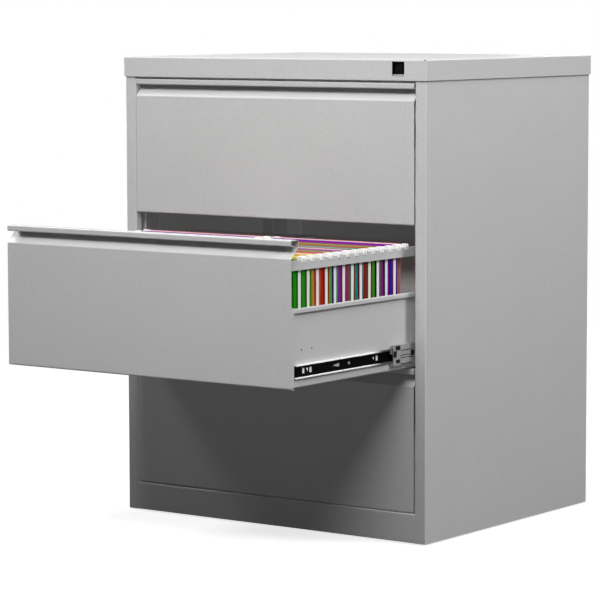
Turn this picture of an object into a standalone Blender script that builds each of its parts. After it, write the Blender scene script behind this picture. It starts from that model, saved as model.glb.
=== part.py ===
"""Three-drawer steel filing cabinet for two rows of suspension files.

Metres, +X to the right, +Y to the back, +Z up. The middle drawer stands open.
The origin lies on the floor under the middle of the cabinet with that drawer out.
"""
import math

import bmesh
import bpy
from mathutils import Matrix, Vector

# Sheet metal
CLEARANCE = 0.0003
SHEET = 0.0010
DRAWER_SHEET = 0.0008
FOLD_RADIUS = 0.0025
FOLD_STEPS = 3

# Carcase
WIDTH = 0.800
DEPTH = 0.662
STILE_WIDTH = 0.0275
STILE_RETURN = 0.018
REAR_FLANGE = 0.018
FLOOR_GAP = 0.003
PLINTH_HEIGHT = 0.064
PLINTH_FLANGE = 0.030
PLINTH_FOOT = 0.016
CAP_HEIGHT = 0.0435
CAP_OVERHANG = 0.003
CAP_LAP = 0.0025
HEADER_FLANGE = 0.018

# Base channels and levelling feet
BASE_RISE = 0.0205
BASE_CHANNEL = 0.060
BASE_SETBACK = 0.0195
FOOT_RADIUS = 0.016
FOOT_HEIGHT = 0.010
FOOT_NUT_RADIUS = 0.0075
FOOT_STEM_RADIUS = 0.004
FOOT_STEM_TOP = 0.034
FRONT_FOOT_INSET = 0.075
REAR_FOOT_INSET = 0.040

# Uprights that carry the slides
UPRIGHT_PROUD = 0.0024
UPRIGHT_SHEET = 0.0012
FRONT_UPRIGHT_SETBACK = 0.030
FRONT_UPRIGHT_WIDTH = 0.045
REAR_UPRIGHT_WIDTH = 0.060
UPRIGHT_SLOT_HEIGHT = 0.012
UPRIGHT_SLOT_WIDTH = 0.005

# Drawer front
DRAWER_NAMES = ("bottom", "middle", "top")
OPEN_DRAWER = "middle"
DRAWER_OPENING = 0.433
SIDE_GAP = 0.0025
PLINTH_GAP = 0.0135
DRAWER_GAP = 0.004
HEAD_GAP = 0.0025
FACE_HEIGHT = 0.2565
FACE_GAP = 0.002
PULL_DEPTH = 0.0245
PULL_SLOPE_RISE = 0.023
PULL_BACK_RISE = 0.002
LIP_HEIGHT = 0.0125
LIP_RETURN = 0.012
FRONT_THICKNESS = 0.011
LINER_RISE = 0.003

# Drawer box
REAR_SPACE = 0.082
TRAY_DROP = 0.002
SIDE_HEIGHT = 0.157
HEM_WIDTH = 0.0055
HEM_DROP = 0.009
BACK_FLANGE = 0.012
SIDE_HOLE_RADIUS = 0.002
SIDE_HOLE_HEIGHT = 0.073
SIDE_HOLE_SETBACKS = (0.052, 0.087)

# Rails for the files
RAIL_BELOW_FACE = 0.0055
RAIL_HEIGHT = 0.0205
RAIL_THICKNESS = 0.002
RAIL_INSET = 0.0062
CENTRE_RAIL_WIDTH = 0.020

# Three-member ball slides
SLIDE_HEIGHT = 0.0448
SLIDE_THICKNESS = 0.0125
SLIDE_SHEET = 0.0012
SLIDE_CENTRE = 0.031
SLIDE_SETBACK = 0.0025
SLIDE_END_GAP = 0.006
INNER_HEIGHT = 0.028
INNER_FLANGE = 0.0052
INNER_SETBACK = 0.027
OUTER_LIP_GAP = 0.0025
WEB_GAP = 0.0019
BALL_CAGE_WIDTH = 0.0042
BALL_SLIDE_SETBACK = 0.0215
BALL_SLIDE_REAR_GAP = 0.0496
BALL_SLIDE_RATIO = 0.2125
SLIDE_SLOT_WIDTH = 0.0075
SLIDE_SLOT_HEIGHT = 0.011
SLIDE_SLOT_SETBACKS = (0.056, 0.0805, 0.313)
KEYHOLE_SETBACK = 0.169
KEYHOLE_LENGTH = 0.026
KEYHOLE_HEIGHT = 0.008
OVAL_SETBACK = 0.215
OVAL_LENGTH = 0.010
OVAL_HEIGHT = 0.006

# Lock in the cap, its rod and its bar
LOCK_INSET = 0.068
LOCK_SIZE = 0.030
LOCK_SILL_GAP = 0.009
LOCK_WALL = 0.0012
LOCK_RECESS = 0.007
LOCK_FLOOR = 0.003
LOCK_SILL_RISE = 0.0045
LOCK_BARREL_RADIUS = 0.0095
LOCK_BARREL_LENGTH = 0.021
PLUG_RADIUS = 0.006
PLUG_PROUD = 0.002
KEY_WIDTH = 0.0014
KEY_HEIGHT = 0.007
KEY_DEPTH = 0.006
ROD_RADIUS = 0.003
CRANK_RADIUS = 0.010
CRANK_THICKNESS = 0.004
CRANK_PIN_RADIUS = 0.0025
CRANK_REST_ANGLE = math.radians(45)
PIN_PLAY = 0.0006
BAR_THICKNESS = 0.002
BAR_WIDTH = 0.0165
BAR_MARGIN = 0.004
BAR_TAIL = 0.030
STUD_RADIUS = 0.003
STUD_LENGTH = 0.0095
STUD_HEIGHT = 0.110
STUD_PLAY = 0.0025

# Suspension files in the open drawer
FILE_COUNT = 13
FILE_PITCH = 0.0306
FILE_SETBACK = 0.0335
FILE_CARD = 0.003
FILE_LEAN = 0.0025
FILE_RISE = 0.0045
FILE_FLOOR_GAP = 0.020
FILE_END_GAP = 0.002
HANGER_WIDTH = 0.006
HANGER_HEIGHT = 0.003
HANGER_REST = 0.0035

ROUND_SIDES = 24

# Sizes that follow from those above
HALF_WIDTH = WIDTH / 2
STILE_EDGE = HALF_WIDTH - STILE_WIDTH
FRONT_HALF = STILE_EDGE - SIDE_GAP
LIP_UNDERSIDE = FACE_HEIGHT + PULL_SLOPE_RISE + PULL_BACK_RISE
FRONT_HEIGHT = LIP_UNDERSIDE + LIP_HEIGHT
DRAWER_PITCH = FRONT_HEIGHT + DRAWER_GAP
FIRST_DRAWER = PLINTH_HEIGHT + PLINTH_GAP
OPENING_TOP = FIRST_DRAWER + DRAWER_PITCH * len(DRAWER_NAMES) - DRAWER_GAP + HEAD_GAP
CAP_BOTTOM = OPENING_TOP + CAP_LAP
HEIGHT = CAP_BOTTOM + CAP_HEIGHT
BODY_TOP = HEIGHT - SHEET - CLEARANCE
BODY_INSIDE = HALF_WIDTH - SHEET - CLEARANCE
CABINET_Y = (DRAWER_OPENING - DEPTH - CAP_OVERHANG) / 2

DRAWER_REAR = DEPTH - REAR_SPACE
UPRIGHT_FACE = STILE_EDGE - UPRIGHT_PROUD
SIDE_OUTER = UPRIGHT_FACE - SLIDE_THICKNESS - 2 * CLEARANCE
SIDE_INNER = SIDE_OUTER - DRAWER_SHEET
TRAY_FLOOR = DRAWER_SHEET - TRAY_DROP
BOX_FRONT = FRONT_THICKNESS + CLEARANCE
RAIL_FRONT = SHEET + CLEARANCE
RAIL_OUTER = SIDE_INNER - RAIL_INSET
RAIL_TOP = FACE_HEIGHT - RAIL_BELOW_FACE

BAR_REAR = DRAWER_REAR - SLIDE_SETBACK - 2 * STUD_RADIUS - 2 * CLEARANCE - SLIDE_END_GAP / 2
BAR_FRONT = BAR_REAR - BAR_THICKNESS
REAR_UPRIGHT_BACK = BAR_FRONT - CLEARANCE
SLIDE_REAR = REAR_UPRIGHT_BACK - SLIDE_END_GAP
BALL_SLIDE_LENGTH = SLIDE_REAR - BALL_SLIDE_REAR_GAP - BALL_SLIDE_SETBACK
STUD_SETBACK = BAR_REAR + 2 * CLEARANCE + STUD_RADIUS + SLIDE_SETBACK / 2
HEM_OUTER = SIDE_OUTER + HEM_WIDTH

LOCK_X = HALF_WIDTH - LOCK_INSET
LOCK_LOW = CAP_BOTTOM + LOCK_SILL_GAP
LOCK_HIGH = LOCK_LOW + LOCK_SIZE
LOCK_Z = (LOCK_LOW + LOCK_SILL_RISE + LOCK_HIGH) / 2
LOCK_FACE = -CAP_OVERHANG
LOCK_FLOOR_FACE = LOCK_FACE + LOCK_RECESS
BARREL_END = LOCK_FLOOR_FACE + LOCK_BARREL_LENGTH + LOCK_FLOOR
ROD_FRONT = BARREL_END + CLEARANCE
CRANK_PIN_RISE = CRANK_RADIUS * math.sin(CRANK_REST_ANGLE)
CRANK_PIN_SWAY = CRANK_RADIUS * (1 - math.cos(CRANK_REST_ANGLE))


def clear_scene():
    """Remove every object that the file starts with."""
    for item in list(bpy.data.objects):
        bpy.data.objects.remove(item, do_unlink=True)


def make_collection(name):
    """Add a named collection to the scene."""
    collection = bpy.data.collections.new(name)
    bpy.context.scene.collection.children.link(collection)
    return collection


def make_finish(name, colour, roughness, metallic):
    """Make a plain Principled finish."""
    finish = bpy.data.materials.new(name)
    finish.use_nodes = True
    shader = finish.node_tree.nodes["Principled BSDF"]
    shader.inputs["Base Color"].default_value = (*colour, 1.0)
    shader.inputs["Roughness"].default_value = roughness
    shader.inputs["Metallic"].default_value = metallic
    return finish


def to_space(axis, u, v, along):
    """Place a profile point (u, v) at a distance along the axis of extrusion."""
    if axis == "X":
        return Vector((along, u, v))
    if axis == "Y":
        return Vector((u, along, v))
    return Vector((u, v, along))


def fold(points, radius=FOLD_RADIUS, steps=FOLD_STEPS):
    """Turn the corners of an open path into arcs, as a press brake does."""
    path = [Vector(point) for point in points]
    folded = [path[0]]
    for before, corner, after in zip(path, path[1:], path[2:]):
        back = before - corner
        ahead = after - corner
        half_angle = back.angle(ahead) / 2
        room = 0.45 * min(back.length, ahead.length)
        reach = min(radius / math.tan(half_angle), room)
        arc_radius = reach * math.tan(half_angle)
        back.normalize()
        ahead.normalize()
        centre = corner + (back + ahead).normalized() * arc_radius / math.sin(half_angle)
        first = (corner + back * reach - centre).normalized()
        last = (corner + ahead * reach - centre).normalized()
        for step in range(steps + 1):
            folded.append(centre + first.slerp(last, step / steps) * arc_radius)
    folded.append(path[-1])
    return folded


def finished_mesh(thing):
    """Freeze an object's modifiers into a closed mesh and remove the object."""
    bpy.context.view_layer.update()
    graph = bpy.context.evaluated_depsgraph_get()
    mesh = bpy.data.meshes.new_from_object(thing.evaluated_get(graph))
    bpy.data.objects.remove(thing, do_unlink=True)
    shape = bmesh.new()
    shape.from_mesh(mesh)
    bmesh.ops.remove_doubles(shape, verts=shape.verts, dist=1e-6)
    bmesh.ops.recalc_face_normals(shape, faces=shape.faces)
    shape.to_mesh(mesh)
    shape.free()
    return mesh


def scratch_object(shape):
    """Put a bmesh into a working object that modifiers can act on."""
    mesh = bpy.data.meshes.new("blank")
    shape.to_mesh(mesh)
    shape.free()
    thing = bpy.data.objects.new("blank", mesh)
    cutters.objects.link(thing)
    thing.hide_render = True
    thing.display_type = "WIRE"
    return thing


def add_solidify(thing, thickness, offset):
    """Give an open surface an even thickness on one side."""
    wall = thing.modifiers.new("wall", "SOLIDIFY")
    wall.thickness = thickness
    wall.offset = offset
    wall.use_even_offset = True


def folded_sheet(axis, profile, start, end, thickness, side):
    """Extrude an open folded profile and thicken it to its left (+1) or right (-1)."""
    path = fold(profile)
    shape = bmesh.new()
    chain = [shape.verts.new(to_space(axis, *point, start)) for point in path]
    edges = [shape.edges.new(pair) for pair in zip(chain, chain[1:])]
    swept = bmesh.ops.extrude_edge_only(shape, edges=edges)["geom"]
    moved = [item for item in swept if isinstance(item, bmesh.types.BMVert)]
    bmesh.ops.translate(shape, verts=moved, vec=to_space(axis, 0, 0, end - start))
    bmesh.ops.recalc_face_normals(shape, faces=shape.faces)
    shape.normal_update()
    first = path[1] - path[0]
    right = to_space(axis, first.y, -first.x, 0)
    shape.faces.ensure_lookup_table()
    along_first = [face for face in shape.faces if set(chain[:2]) <= set(face.verts)]
    if along_first[0].normal.dot(right) < 0:
        bmesh.ops.reverse_faces(shape, faces=shape.faces)
    thing = scratch_object(shape)
    add_solidify(thing, thickness, -side)
    return finished_mesh(thing)


def prism(axis, outline, start, end):
    """Extrude a closed outline along an axis."""
    shape = bmesh.new()
    corners = [shape.verts.new(to_space(axis, *point, start)) for point in outline]
    face = shape.faces.new(corners)
    swept = bmesh.ops.extrude_face_region(shape, geom=[face])["geom"]
    moved = [item for item in swept if isinstance(item, bmesh.types.BMVert)]
    bmesh.ops.translate(shape, verts=moved, vec=to_space(axis, 0, 0, end - start))
    return finished_mesh(scratch_object(shape))


def block(low, high, bevel=0.0):
    """Make a box between two corners, with its edges eased if asked."""
    low = Vector(low)
    high = Vector(high)
    shape = bmesh.new()
    size = Matrix.Diagonal((*(high - low), 1.0))
    bmesh.ops.create_cube(shape, size=1.0, matrix=Matrix.Translation((low + high) / 2) @ size)
    thing = scratch_object(shape)
    if bevel > 0:
        edge = thing.modifiers.new("eased", "BEVEL")
        edge.width = bevel
        edge.segments = 2
    return finished_mesh(thing)


def rod(axis, centre, radius, start, end, sides=ROUND_SIDES):
    """Make a cylinder along an axis, centred on (u, v) of the other two axes."""
    turns = {"X": Matrix.Rotation(math.pi / 2, 4, "Y"), "Y": Matrix.Rotation(math.pi / 2, 4, "X")}
    turn = turns.get(axis, Matrix.Identity(4))
    middle = to_space(axis, *centre, (start + end) / 2)
    shape = bmesh.new()
    bmesh.ops.create_cone(shape, cap_ends=True, segments=sides, radius1=radius, radius2=radius,
                          depth=end - start, matrix=Matrix.Translation(middle) @ turn)
    return finished_mesh(scratch_object(shape))


def turned(profile, sides=ROUND_SIDES):
    """Turn a profile of (radius, height) points, listed from the top down, about Z."""
    shape = bmesh.new()
    chain = [shape.verts.new((radius, 0, height)) for radius, height in profile]
    for pair in zip(chain, chain[1:]):
        shape.edges.new(pair)
    thing = scratch_object(shape)
    screw = thing.modifiers.new("turned", "SCREW")
    screw.steps = sides
    screw.render_steps = sides
    screw.use_merge_vertices = True
    screw.merge_threshold = 0.00001
    return finished_mesh(thing)


def stadium(first, last, first_radius, last_radius, steps=8):
    """Outline a bar with round ends between two centres."""
    first = Vector(first)
    last = Vector(last)
    heading = math.atan2(last.y - first.y, last.x - first.x)
    outline = []
    for centre, radius, start in ((last, last_radius, -90), (first, first_radius, 90)):
        for step in range(steps + 1):
            angle = heading + math.radians(start + 180 * step / steps)
            outline.append(centre + Vector((math.cos(angle), math.sin(angle))) * radius)
    return outline


def combine(mesh, tools, operation):
    """Cut tools out of a mesh, or join them to it."""
    thing = bpy.data.objects.new("work", mesh)
    cutters.objects.link(thing)
    helpers = []
    for tool in tools:
        helper = bpy.data.objects.new("cutter", tool)
        cutters.objects.link(helper)
        helper.hide_render = True
        helper.display_type = "WIRE"
        helpers.append(helper)
        boolean = thing.modifiers.new("shaped", "BOOLEAN")
        boolean.operation = operation
        boolean.object = helper
        boolean.solver = "EXACT"
    result = finished_mesh(thing)
    for helper in helpers:
        bpy.data.objects.remove(helper, do_unlink=True)
    return result


def cut(mesh, tools):
    """Cut every tool out of a mesh."""
    return combine(mesh, tools, "DIFFERENCE")


def join(mesh, tools):
    """Weld every tool to a mesh as one solid."""
    return combine(mesh, tools, "UNION")


def mirrored(mesh):
    """Make the left-hand copy of a right-hand mesh."""
    shape = bmesh.new()
    shape.from_mesh(mesh)
    bmesh.ops.scale(shape, vec=(-1, 1, 1), verts=shape.verts)
    bmesh.ops.reverse_faces(shape, faces=shape.faces)
    copy = bpy.data.meshes.new("mirrored")
    shape.to_mesh(copy)
    shape.free()
    return copy


def add_anchor(name, location, parent=None):
    """Add an empty that carries a moving group."""
    anchor = bpy.data.objects.new(name, None)
    anchor.location = location
    anchor.parent = parent
    cabinet.objects.link(anchor)
    return anchor


def add_part(name, mesh, finish, parent, location=(0, 0, 0)):
    """Place a finished mesh as a named part."""
    own = mesh.copy() if mesh.users else mesh
    own.name = name
    own.materials.clear()
    own.materials.append(finish)
    own.shade_smooth()
    own.set_sharp_from_angle(angle=math.radians(30))
    part = bpy.data.objects.new(name, own)
    part.location = location
    part.parent = parent
    cabinet.objects.link(part)
    return part


def add_pair(name, mesh, finish, parent, location=(0, 0, 0)):
    """Place a right-hand mesh and its left-hand mirror image."""
    x, y, z = location
    add_part(name.format("left"), mirrored(mesh), finish, parent, (-x, y, z))
    add_part(name.format("right"), mesh, finish, parent, location)


def side_panel():
    """Side, front stile and rear flange folded from one sheet."""
    profile = [
        (STILE_EDGE, STILE_RETURN),
        (STILE_EDGE, 0),
        (HALF_WIDTH, 0),
        (HALF_WIDTH, DEPTH),
        (HALF_WIDTH - REAR_FLANGE, DEPTH),
    ]
    return folded_sheet("Z", profile, FLOOR_GAP, BODY_TOP, SHEET, 1)


def back_panel():
    """Back sheet with a flange along each side."""
    rear = DEPTH - SHEET - CLEARANCE
    flange = rear - REAR_FLANGE
    profile = [
        (BODY_INSIDE, flange),
        (BODY_INSIDE, rear),
        (-BODY_INSIDE, rear),
        (-BODY_INSIDE, flange),
    ]
    return folded_sheet("Z", profile, FLOOR_GAP, BODY_TOP, SHEET, 1)


def top_cap():
    """Folded tray that closes the top, with a square hole for the lock."""
    low = Vector((-HALF_WIDTH - CAP_OVERHANG, -CAP_OVERHANG, CAP_BOTTOM))
    high = Vector((HALF_WIDTH + CAP_OVERHANG, DEPTH + CAP_OVERHANG, HEIGHT))
    shape = bmesh.new()
    size = Matrix.Diagonal((*(high - low), 1.0))
    bmesh.ops.create_cube(shape, size=1.0, matrix=Matrix.Translation((low + high) / 2) @ size)
    bottom = [face for face in shape.faces if face.normal.z < -0.5]
    bmesh.ops.delete(shape, geom=bottom, context="FACES_ONLY")
    folds = [edge for edge in shape.edges if len(edge.link_faces) == 2]
    bmesh.ops.bevel(shape, geom=folds, offset=FOLD_RADIUS, segments=FOLD_STEPS, profile=0.5,
                    affect="EDGES")
    thing = scratch_object(shape)
    add_solidify(thing, SHEET, -1)
    return cut(finished_mesh(thing), [lock_opening()])


def lock_opening():
    """Square hole that the lock housing sits in."""
    reach = LOCK_SIZE / 2 + CLEARANCE
    return block(
        (LOCK_X - reach, LOCK_FACE - LOCK_RECESS, LOCK_LOW - CLEARANCE),
        (LOCK_X + reach, LOCK_FACE + LOCK_RECESS, LOCK_HIGH + CLEARANCE),
    )


def header_rail():
    """Channel behind the cap's fascia, between the stiles."""
    reach = STILE_EDGE - CLEARANCE
    profile = [
        (HEADER_FLANGE, BODY_TOP),
        (0, BODY_TOP),
        (0, OPENING_TOP),
        (HEADER_FLANGE, OPENING_TOP),
    ]
    return cut(folded_sheet("X", profile, -reach, reach, SHEET, 1), [lock_opening()])


def plinth_rail():
    """Plinth face with a flange that the base pan meets."""
    reach = STILE_EDGE - CLEARANCE
    profile = [
        (PLINTH_FLANGE, PLINTH_HEIGHT),
        (0, PLINTH_HEIGHT),
        (0, FLOOR_GAP),
        (PLINTH_FOOT, FLOOR_GAP),
    ]
    return folded_sheet("X", profile, -reach, reach, SHEET, 1)


def foot_places():
    """Centres of the four levelling feet."""
    channel_middle = BODY_INSIDE - BASE_CHANNEL / 2
    front = BASE_SETBACK + FRONT_FOOT_INSET
    rear = base_rear() - REAR_FOOT_INSET
    return [
        (side_name, end_name, side * channel_middle, place)
        for side_name, side in (("left", -1), ("right", 1))
        for end_name, place in (("front", front), ("rear", rear))
    ]


def base_rear():
    """Rear edge of the base pan, clear of the back panel's flanges."""
    return DEPTH - SHEET - REAR_FLANGE - 2 * CLEARANCE


def base_pan():
    """Hat-shaped floor with a low channel on each side for the feet."""
    crown = PLINTH_HEIGHT - SHEET - CLEARANCE
    inner = BODY_INSIDE - BASE_CHANNEL
    profile = [
        (BODY_INSIDE, BASE_RISE),
        (inner, BASE_RISE),
        (inner, crown),
        (-inner, crown),
        (-inner, BASE_RISE),
        (-BODY_INSIDE, BASE_RISE),
    ]
    sheet = folded_sheet("Y", profile, BASE_SETBACK, base_rear(), SHEET, 1)
    holes = [
        rod("Z", (x, y), FOOT_STEM_RADIUS + CLEARANCE, FOOT_HEIGHT, FOOT_STEM_TOP)
        for _, _, x, y in foot_places()
    ]
    return cut(sheet, holes)


def levelling_foot():
    """Foot pad with its nut and threaded stem, turned as one."""
    nut_top = BASE_RISE - SHEET - CLEARANCE
    profile = [
        (0, FOOT_STEM_TOP),
        (FOOT_STEM_RADIUS, FOOT_STEM_TOP),
        (FOOT_STEM_RADIUS, nut_top),
        (FOOT_NUT_RADIUS, nut_top),
        (FOOT_NUT_RADIUS, FOOT_HEIGHT),
        (FOOT_RADIUS * 0.75, FOOT_HEIGHT * 0.8),
        (FOOT_RADIUS, FOOT_HEIGHT * 0.3),
        (FOOT_RADIUS, 0),
        (0, 0),
    ]
    return turned(profile)


def drawer_bottoms():
    """Name of each drawer with the height of its front's lower edge."""
    return [(name, FIRST_DRAWER + DRAWER_PITCH * place) for place, name in enumerate(DRAWER_NAMES)]


def upright(front, width):
    """Slotted channel on the side panel that carries the outer slides."""
    profile = [
        (BODY_INSIDE, front),
        (UPRIGHT_FACE, front),
        (UPRIGHT_FACE, front + width),
        (BODY_INSIDE, front + width),
    ]
    channel = folded_sheet("Z", profile, BASE_RISE + CLEARANCE, BODY_TOP, UPRIGHT_SHEET, -1)
    slots = []
    middle = front + width / 2
    for _, bottom in drawer_bottoms():
        for step in (-1, 1):
            height = bottom + SLIDE_CENTRE + step * SLIDE_HEIGHT
            slots.append(block(
                (UPRIGHT_FACE - SLIDE_SHEET, middle - UPRIGHT_SLOT_WIDTH / 2,
                 height - UPRIGHT_SLOT_HEIGHT / 2),
                (UPRIGHT_FACE + 2 * UPRIGHT_SHEET, middle + UPRIGHT_SLOT_WIDTH / 2,
                 height + UPRIGHT_SLOT_HEIGHT / 2),
            ))
    return cut(channel, slots)


def drawer_front(drop):
    """Front skin: bottom return, face, sloped pull recess and overhanging lip."""
    slope_top = FACE_HEIGHT + PULL_SLOPE_RISE
    profile = [
        (LIP_RETURN, LIP_UNDERSIDE),
        (0, LIP_UNDERSIDE),
        (0, FRONT_HEIGHT),
        (PULL_DEPTH, FRONT_HEIGHT),
        (PULL_DEPTH, slope_top),
        (SHEET, FACE_HEIGHT),
        (SHEET, SHEET - drop),
        (FRONT_THICKNESS - SHEET, SHEET - drop),
    ]
    return folded_sheet("X", profile, -FRONT_HALF, FRONT_HALF, SHEET, -1)


def front_liner(drop):
    """Inner skin behind the front, as high as the drawer's sides."""
    reach = FRONT_HALF - CLEARANCE
    start = SHEET + CLEARANCE
    profile = [
        (-reach, start),
        (-reach, FRONT_THICKNESS),
        (reach, FRONT_THICKNESS),
        (reach, start),
    ]
    foot = start + FOLD_RADIUS - drop
    return folded_sheet("Z", profile, foot, SIDE_HEIGHT + LINER_RISE, DRAWER_SHEET, -1)


def drawer_tray():
    """Drawer floor and low sides, with hemmed top edges and the lock's stud."""
    hem_low = SIDE_HEIGHT - HEM_DROP
    profile = [
        (-HEM_OUTER, hem_low),
        (-HEM_OUTER, SIDE_HEIGHT),
        (-SIDE_INNER, SIDE_HEIGHT),
        (-SIDE_INNER, TRAY_FLOOR),
        (SIDE_INNER, TRAY_FLOOR),
        (SIDE_INNER, SIDE_HEIGHT),
        (HEM_OUTER, SIDE_HEIGHT),
        (HEM_OUTER, hem_low),
    ]
    tray = folded_sheet("Y", profile, BOX_FRONT, DRAWER_REAR, DRAWER_SHEET, -1)
    holes = [
        rod("X", (setback, SIDE_HOLE_HEIGHT), SIDE_HOLE_RADIUS, -HALF_WIDTH, HALF_WIDTH, 12)
        for setback in SIDE_HOLE_SETBACKS
    ]
    stud_start = SIDE_OUTER - DRAWER_SHEET / 2
    stud = rod("X", (STUD_SETBACK, STUD_HEIGHT), STUD_RADIUS, stud_start, SIDE_OUTER + STUD_LENGTH, 12)
    return join(cut(tray, holes), [stud])


def drawer_back():
    """Rear wall of the drawer, tall enough to carry the file rails."""
    reach = SIDE_INNER - CLEARANCE
    rear = DRAWER_REAR - SHEET
    profile = [
        (reach, rear - BACK_FLANGE),
        (reach, rear),
        (-reach, rear),
        (-reach, rear - BACK_FLANGE),
    ]
    foot = TRAY_FLOOR + FOLD_RADIUS + CLEARANCE
    return folded_sheet("Z", profile, foot, RAIL_TOP, DRAWER_SHEET, 1)


def rail_end():
    """Rear end of the file rails, against the drawer's back."""
    return DRAWER_REAR - SHEET - DRAWER_SHEET - CLEARANCE


def side_rail():
    """Flat rail that the outer hooks of the files hang on."""
    return block(
        (RAIL_OUTER - RAIL_THICKNESS, RAIL_FRONT, RAIL_TOP - RAIL_HEIGHT),
        (RAIL_OUTER, rail_end(), RAIL_TOP),
        RAIL_THICKNESS / 4,
    )


def centre_rail():
    """Inverted channel between the two rows of files."""
    half = CENTRE_RAIL_WIDTH / 2
    profile = [
        (-half, RAIL_TOP - RAIL_HEIGHT),
        (-half, RAIL_TOP),
        (half, RAIL_TOP),
        (half, RAIL_TOP - RAIL_HEIGHT),
    ]
    return folded_sheet("Y", profile, RAIL_FRONT, rail_end(), DRAWER_SHEET, -1)


def outer_slide():
    """Outer channel of a slide, fixed to the uprights."""
    web = UPRIGHT_FACE - CLEARANCE
    lip = web - SLIDE_THICKNESS + OUTER_LIP_GAP
    half = SLIDE_HEIGHT / 2
    profile = [(lip, -half), (web, -half), (web, half), (lip, half)]
    return folded_sheet("Y", profile, FRONT_THICKNESS + SLIDE_SETBACK, SLIDE_REAR, SLIDE_SHEET, 1)


def ball_slide():
    """Middle member: a channel with its ball cages along both flanges."""
    web = UPRIGHT_FACE - CLEARANCE - SLIDE_SHEET - WEB_GAP
    lip = UPRIGHT_FACE - CLEARANCE - SLIDE_THICKNESS + OUTER_LIP_GAP
    half = SLIDE_HEIGHT / 2 - SLIDE_SHEET - CLEARANCE
    race = INNER_HEIGHT / 2 + CLEARANCE
    upper = [
        (lip, half),
        (lip, race),
        (lip + BALL_CAGE_WIDTH, race),
        (lip + BALL_CAGE_WIDTH, half - SLIDE_SHEET),
        (web - SLIDE_SHEET, half - SLIDE_SHEET),
    ]
    lower = [(u, -v) for u, v in reversed(upper)]
    outline = [(web, half)] + upper + lower + [(web, -half)]
    return prism("Y", outline, BALL_SLIDE_SETBACK, BALL_SLIDE_SETBACK + BALL_SLIDE_LENGTH)


def inner_slide():
    """Inner channel of a slide, riveted to the drawer's side, with its slots."""
    web = SIDE_OUTER + CLEARANCE
    half = INNER_HEIGHT / 2
    profile = [
        (web + INNER_FLANGE, half),
        (web, half),
        (web, -half),
        (web + INNER_FLANGE, -half),
    ]
    channel = folded_sheet("Y", profile, INNER_SETBACK, SLIDE_REAR, SLIDE_SHEET, 1)
    through = (web - SLIDE_SHEET, web + 2 * SLIDE_SHEET)
    tools = []
    for setback in SLIDE_SLOT_SETBACKS:
        tools.append(block(
            (through[0], setback - SLIDE_SLOT_WIDTH / 2, -SLIDE_SLOT_HEIGHT / 2),
            (through[1], setback + SLIDE_SLOT_WIDTH / 2, SLIDE_SLOT_HEIGHT / 2),
        ))
    keyhole_half = KEYHOLE_LENGTH / 2 - KEYHOLE_HEIGHT / 2
    keyhole = stadium((KEYHOLE_SETBACK - keyhole_half, 0), (KEYHOLE_SETBACK + keyhole_half, 0),
                      KEYHOLE_HEIGHT / 8, KEYHOLE_HEIGHT / 2)
    oval_half = OVAL_LENGTH / 2 - OVAL_HEIGHT / 2
    oval = stadium((OVAL_SETBACK - oval_half, 0), (OVAL_SETBACK + oval_half, 0),
                   OVAL_HEIGHT / 2, OVAL_HEIGHT / 2)
    tools += [prism("X", outline, *through) for outline in (keyhole, oval)]
    return cut(channel, tools)


def lock_housing():
    """Square cup with a sloped sill, and the barrel that the plug turns in."""
    half = LOCK_SIZE / 2
    body = block((LOCK_X - half, LOCK_FACE, LOCK_LOW),
                 (LOCK_X + half, LOCK_FLOOR_FACE + LOCK_FLOOR, LOCK_HIGH))
    pocket_low = LOCK_LOW + LOCK_WALL
    pocket_high = LOCK_HIGH - LOCK_WALL
    outside = LOCK_FACE - LOCK_RECESS
    pocket = prism("X", [
        (outside, pocket_low),
        (LOCK_FACE, pocket_low),
        (LOCK_FLOOR_FACE, pocket_low + LOCK_SILL_RISE),
        (LOCK_FLOOR_FACE, pocket_high),
        (outside, pocket_high),
    ], LOCK_X - half + LOCK_WALL, LOCK_X + half - LOCK_WALL)
    barrel = rod("Y", (LOCK_X, LOCK_Z), LOCK_BARREL_RADIUS, LOCK_FLOOR_FACE + LOCK_FLOOR / 2, BARREL_END)
    bore = rod("Y", (LOCK_X, LOCK_Z), PLUG_RADIUS + CLEARANCE, outside, BARREL_END + LOCK_FLOOR)
    return cut(join(cut(body, [pocket]), [barrel]), [bore])


def lock_plug():
    """Plug with its keyway, about its own axis."""
    front = LOCK_FLOOR_FACE - PLUG_PROUD
    plug = rod("Y", (0, 0), PLUG_RADIUS, front, BARREL_END)
    keyway = block((-KEY_WIDTH / 2, front - KEY_DEPTH, -KEY_HEIGHT / 2),
                   (KEY_WIDTH / 2, front + KEY_DEPTH, KEY_HEIGHT / 2))
    return cut(plug, [keyway])


def crank_pin():
    """Centre of the crank pin beside the lock's axis, at rest."""
    return Vector((CRANK_RADIUS * math.cos(CRANK_REST_ANGLE), CRANK_PIN_RISE))


def lock_rod():
    """Long rod from the plug to a crank with a pin, about the lock's axis."""
    crank_rear = BAR_FRONT - 2 * CLEARANCE
    crank_front = crank_rear - CRANK_THICKNESS
    pin = crank_pin()
    shaft = rod("Y", (0, 0), ROD_RADIUS, ROD_FRONT, crank_front + CRANK_THICKNESS / 2, 16)
    web = prism("Y", stadium((0, 0), pin, 2 * ROD_RADIUS, 2 * CRANK_PIN_RADIUS), crank_front, crank_rear)
    stub = rod("Y", pin, CRANK_PIN_RADIUS, crank_front + CRANK_THICKNESS / 2, BAR_REAR + CLEARANCE, 16)
    return join(web, [shaft, stub])


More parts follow.
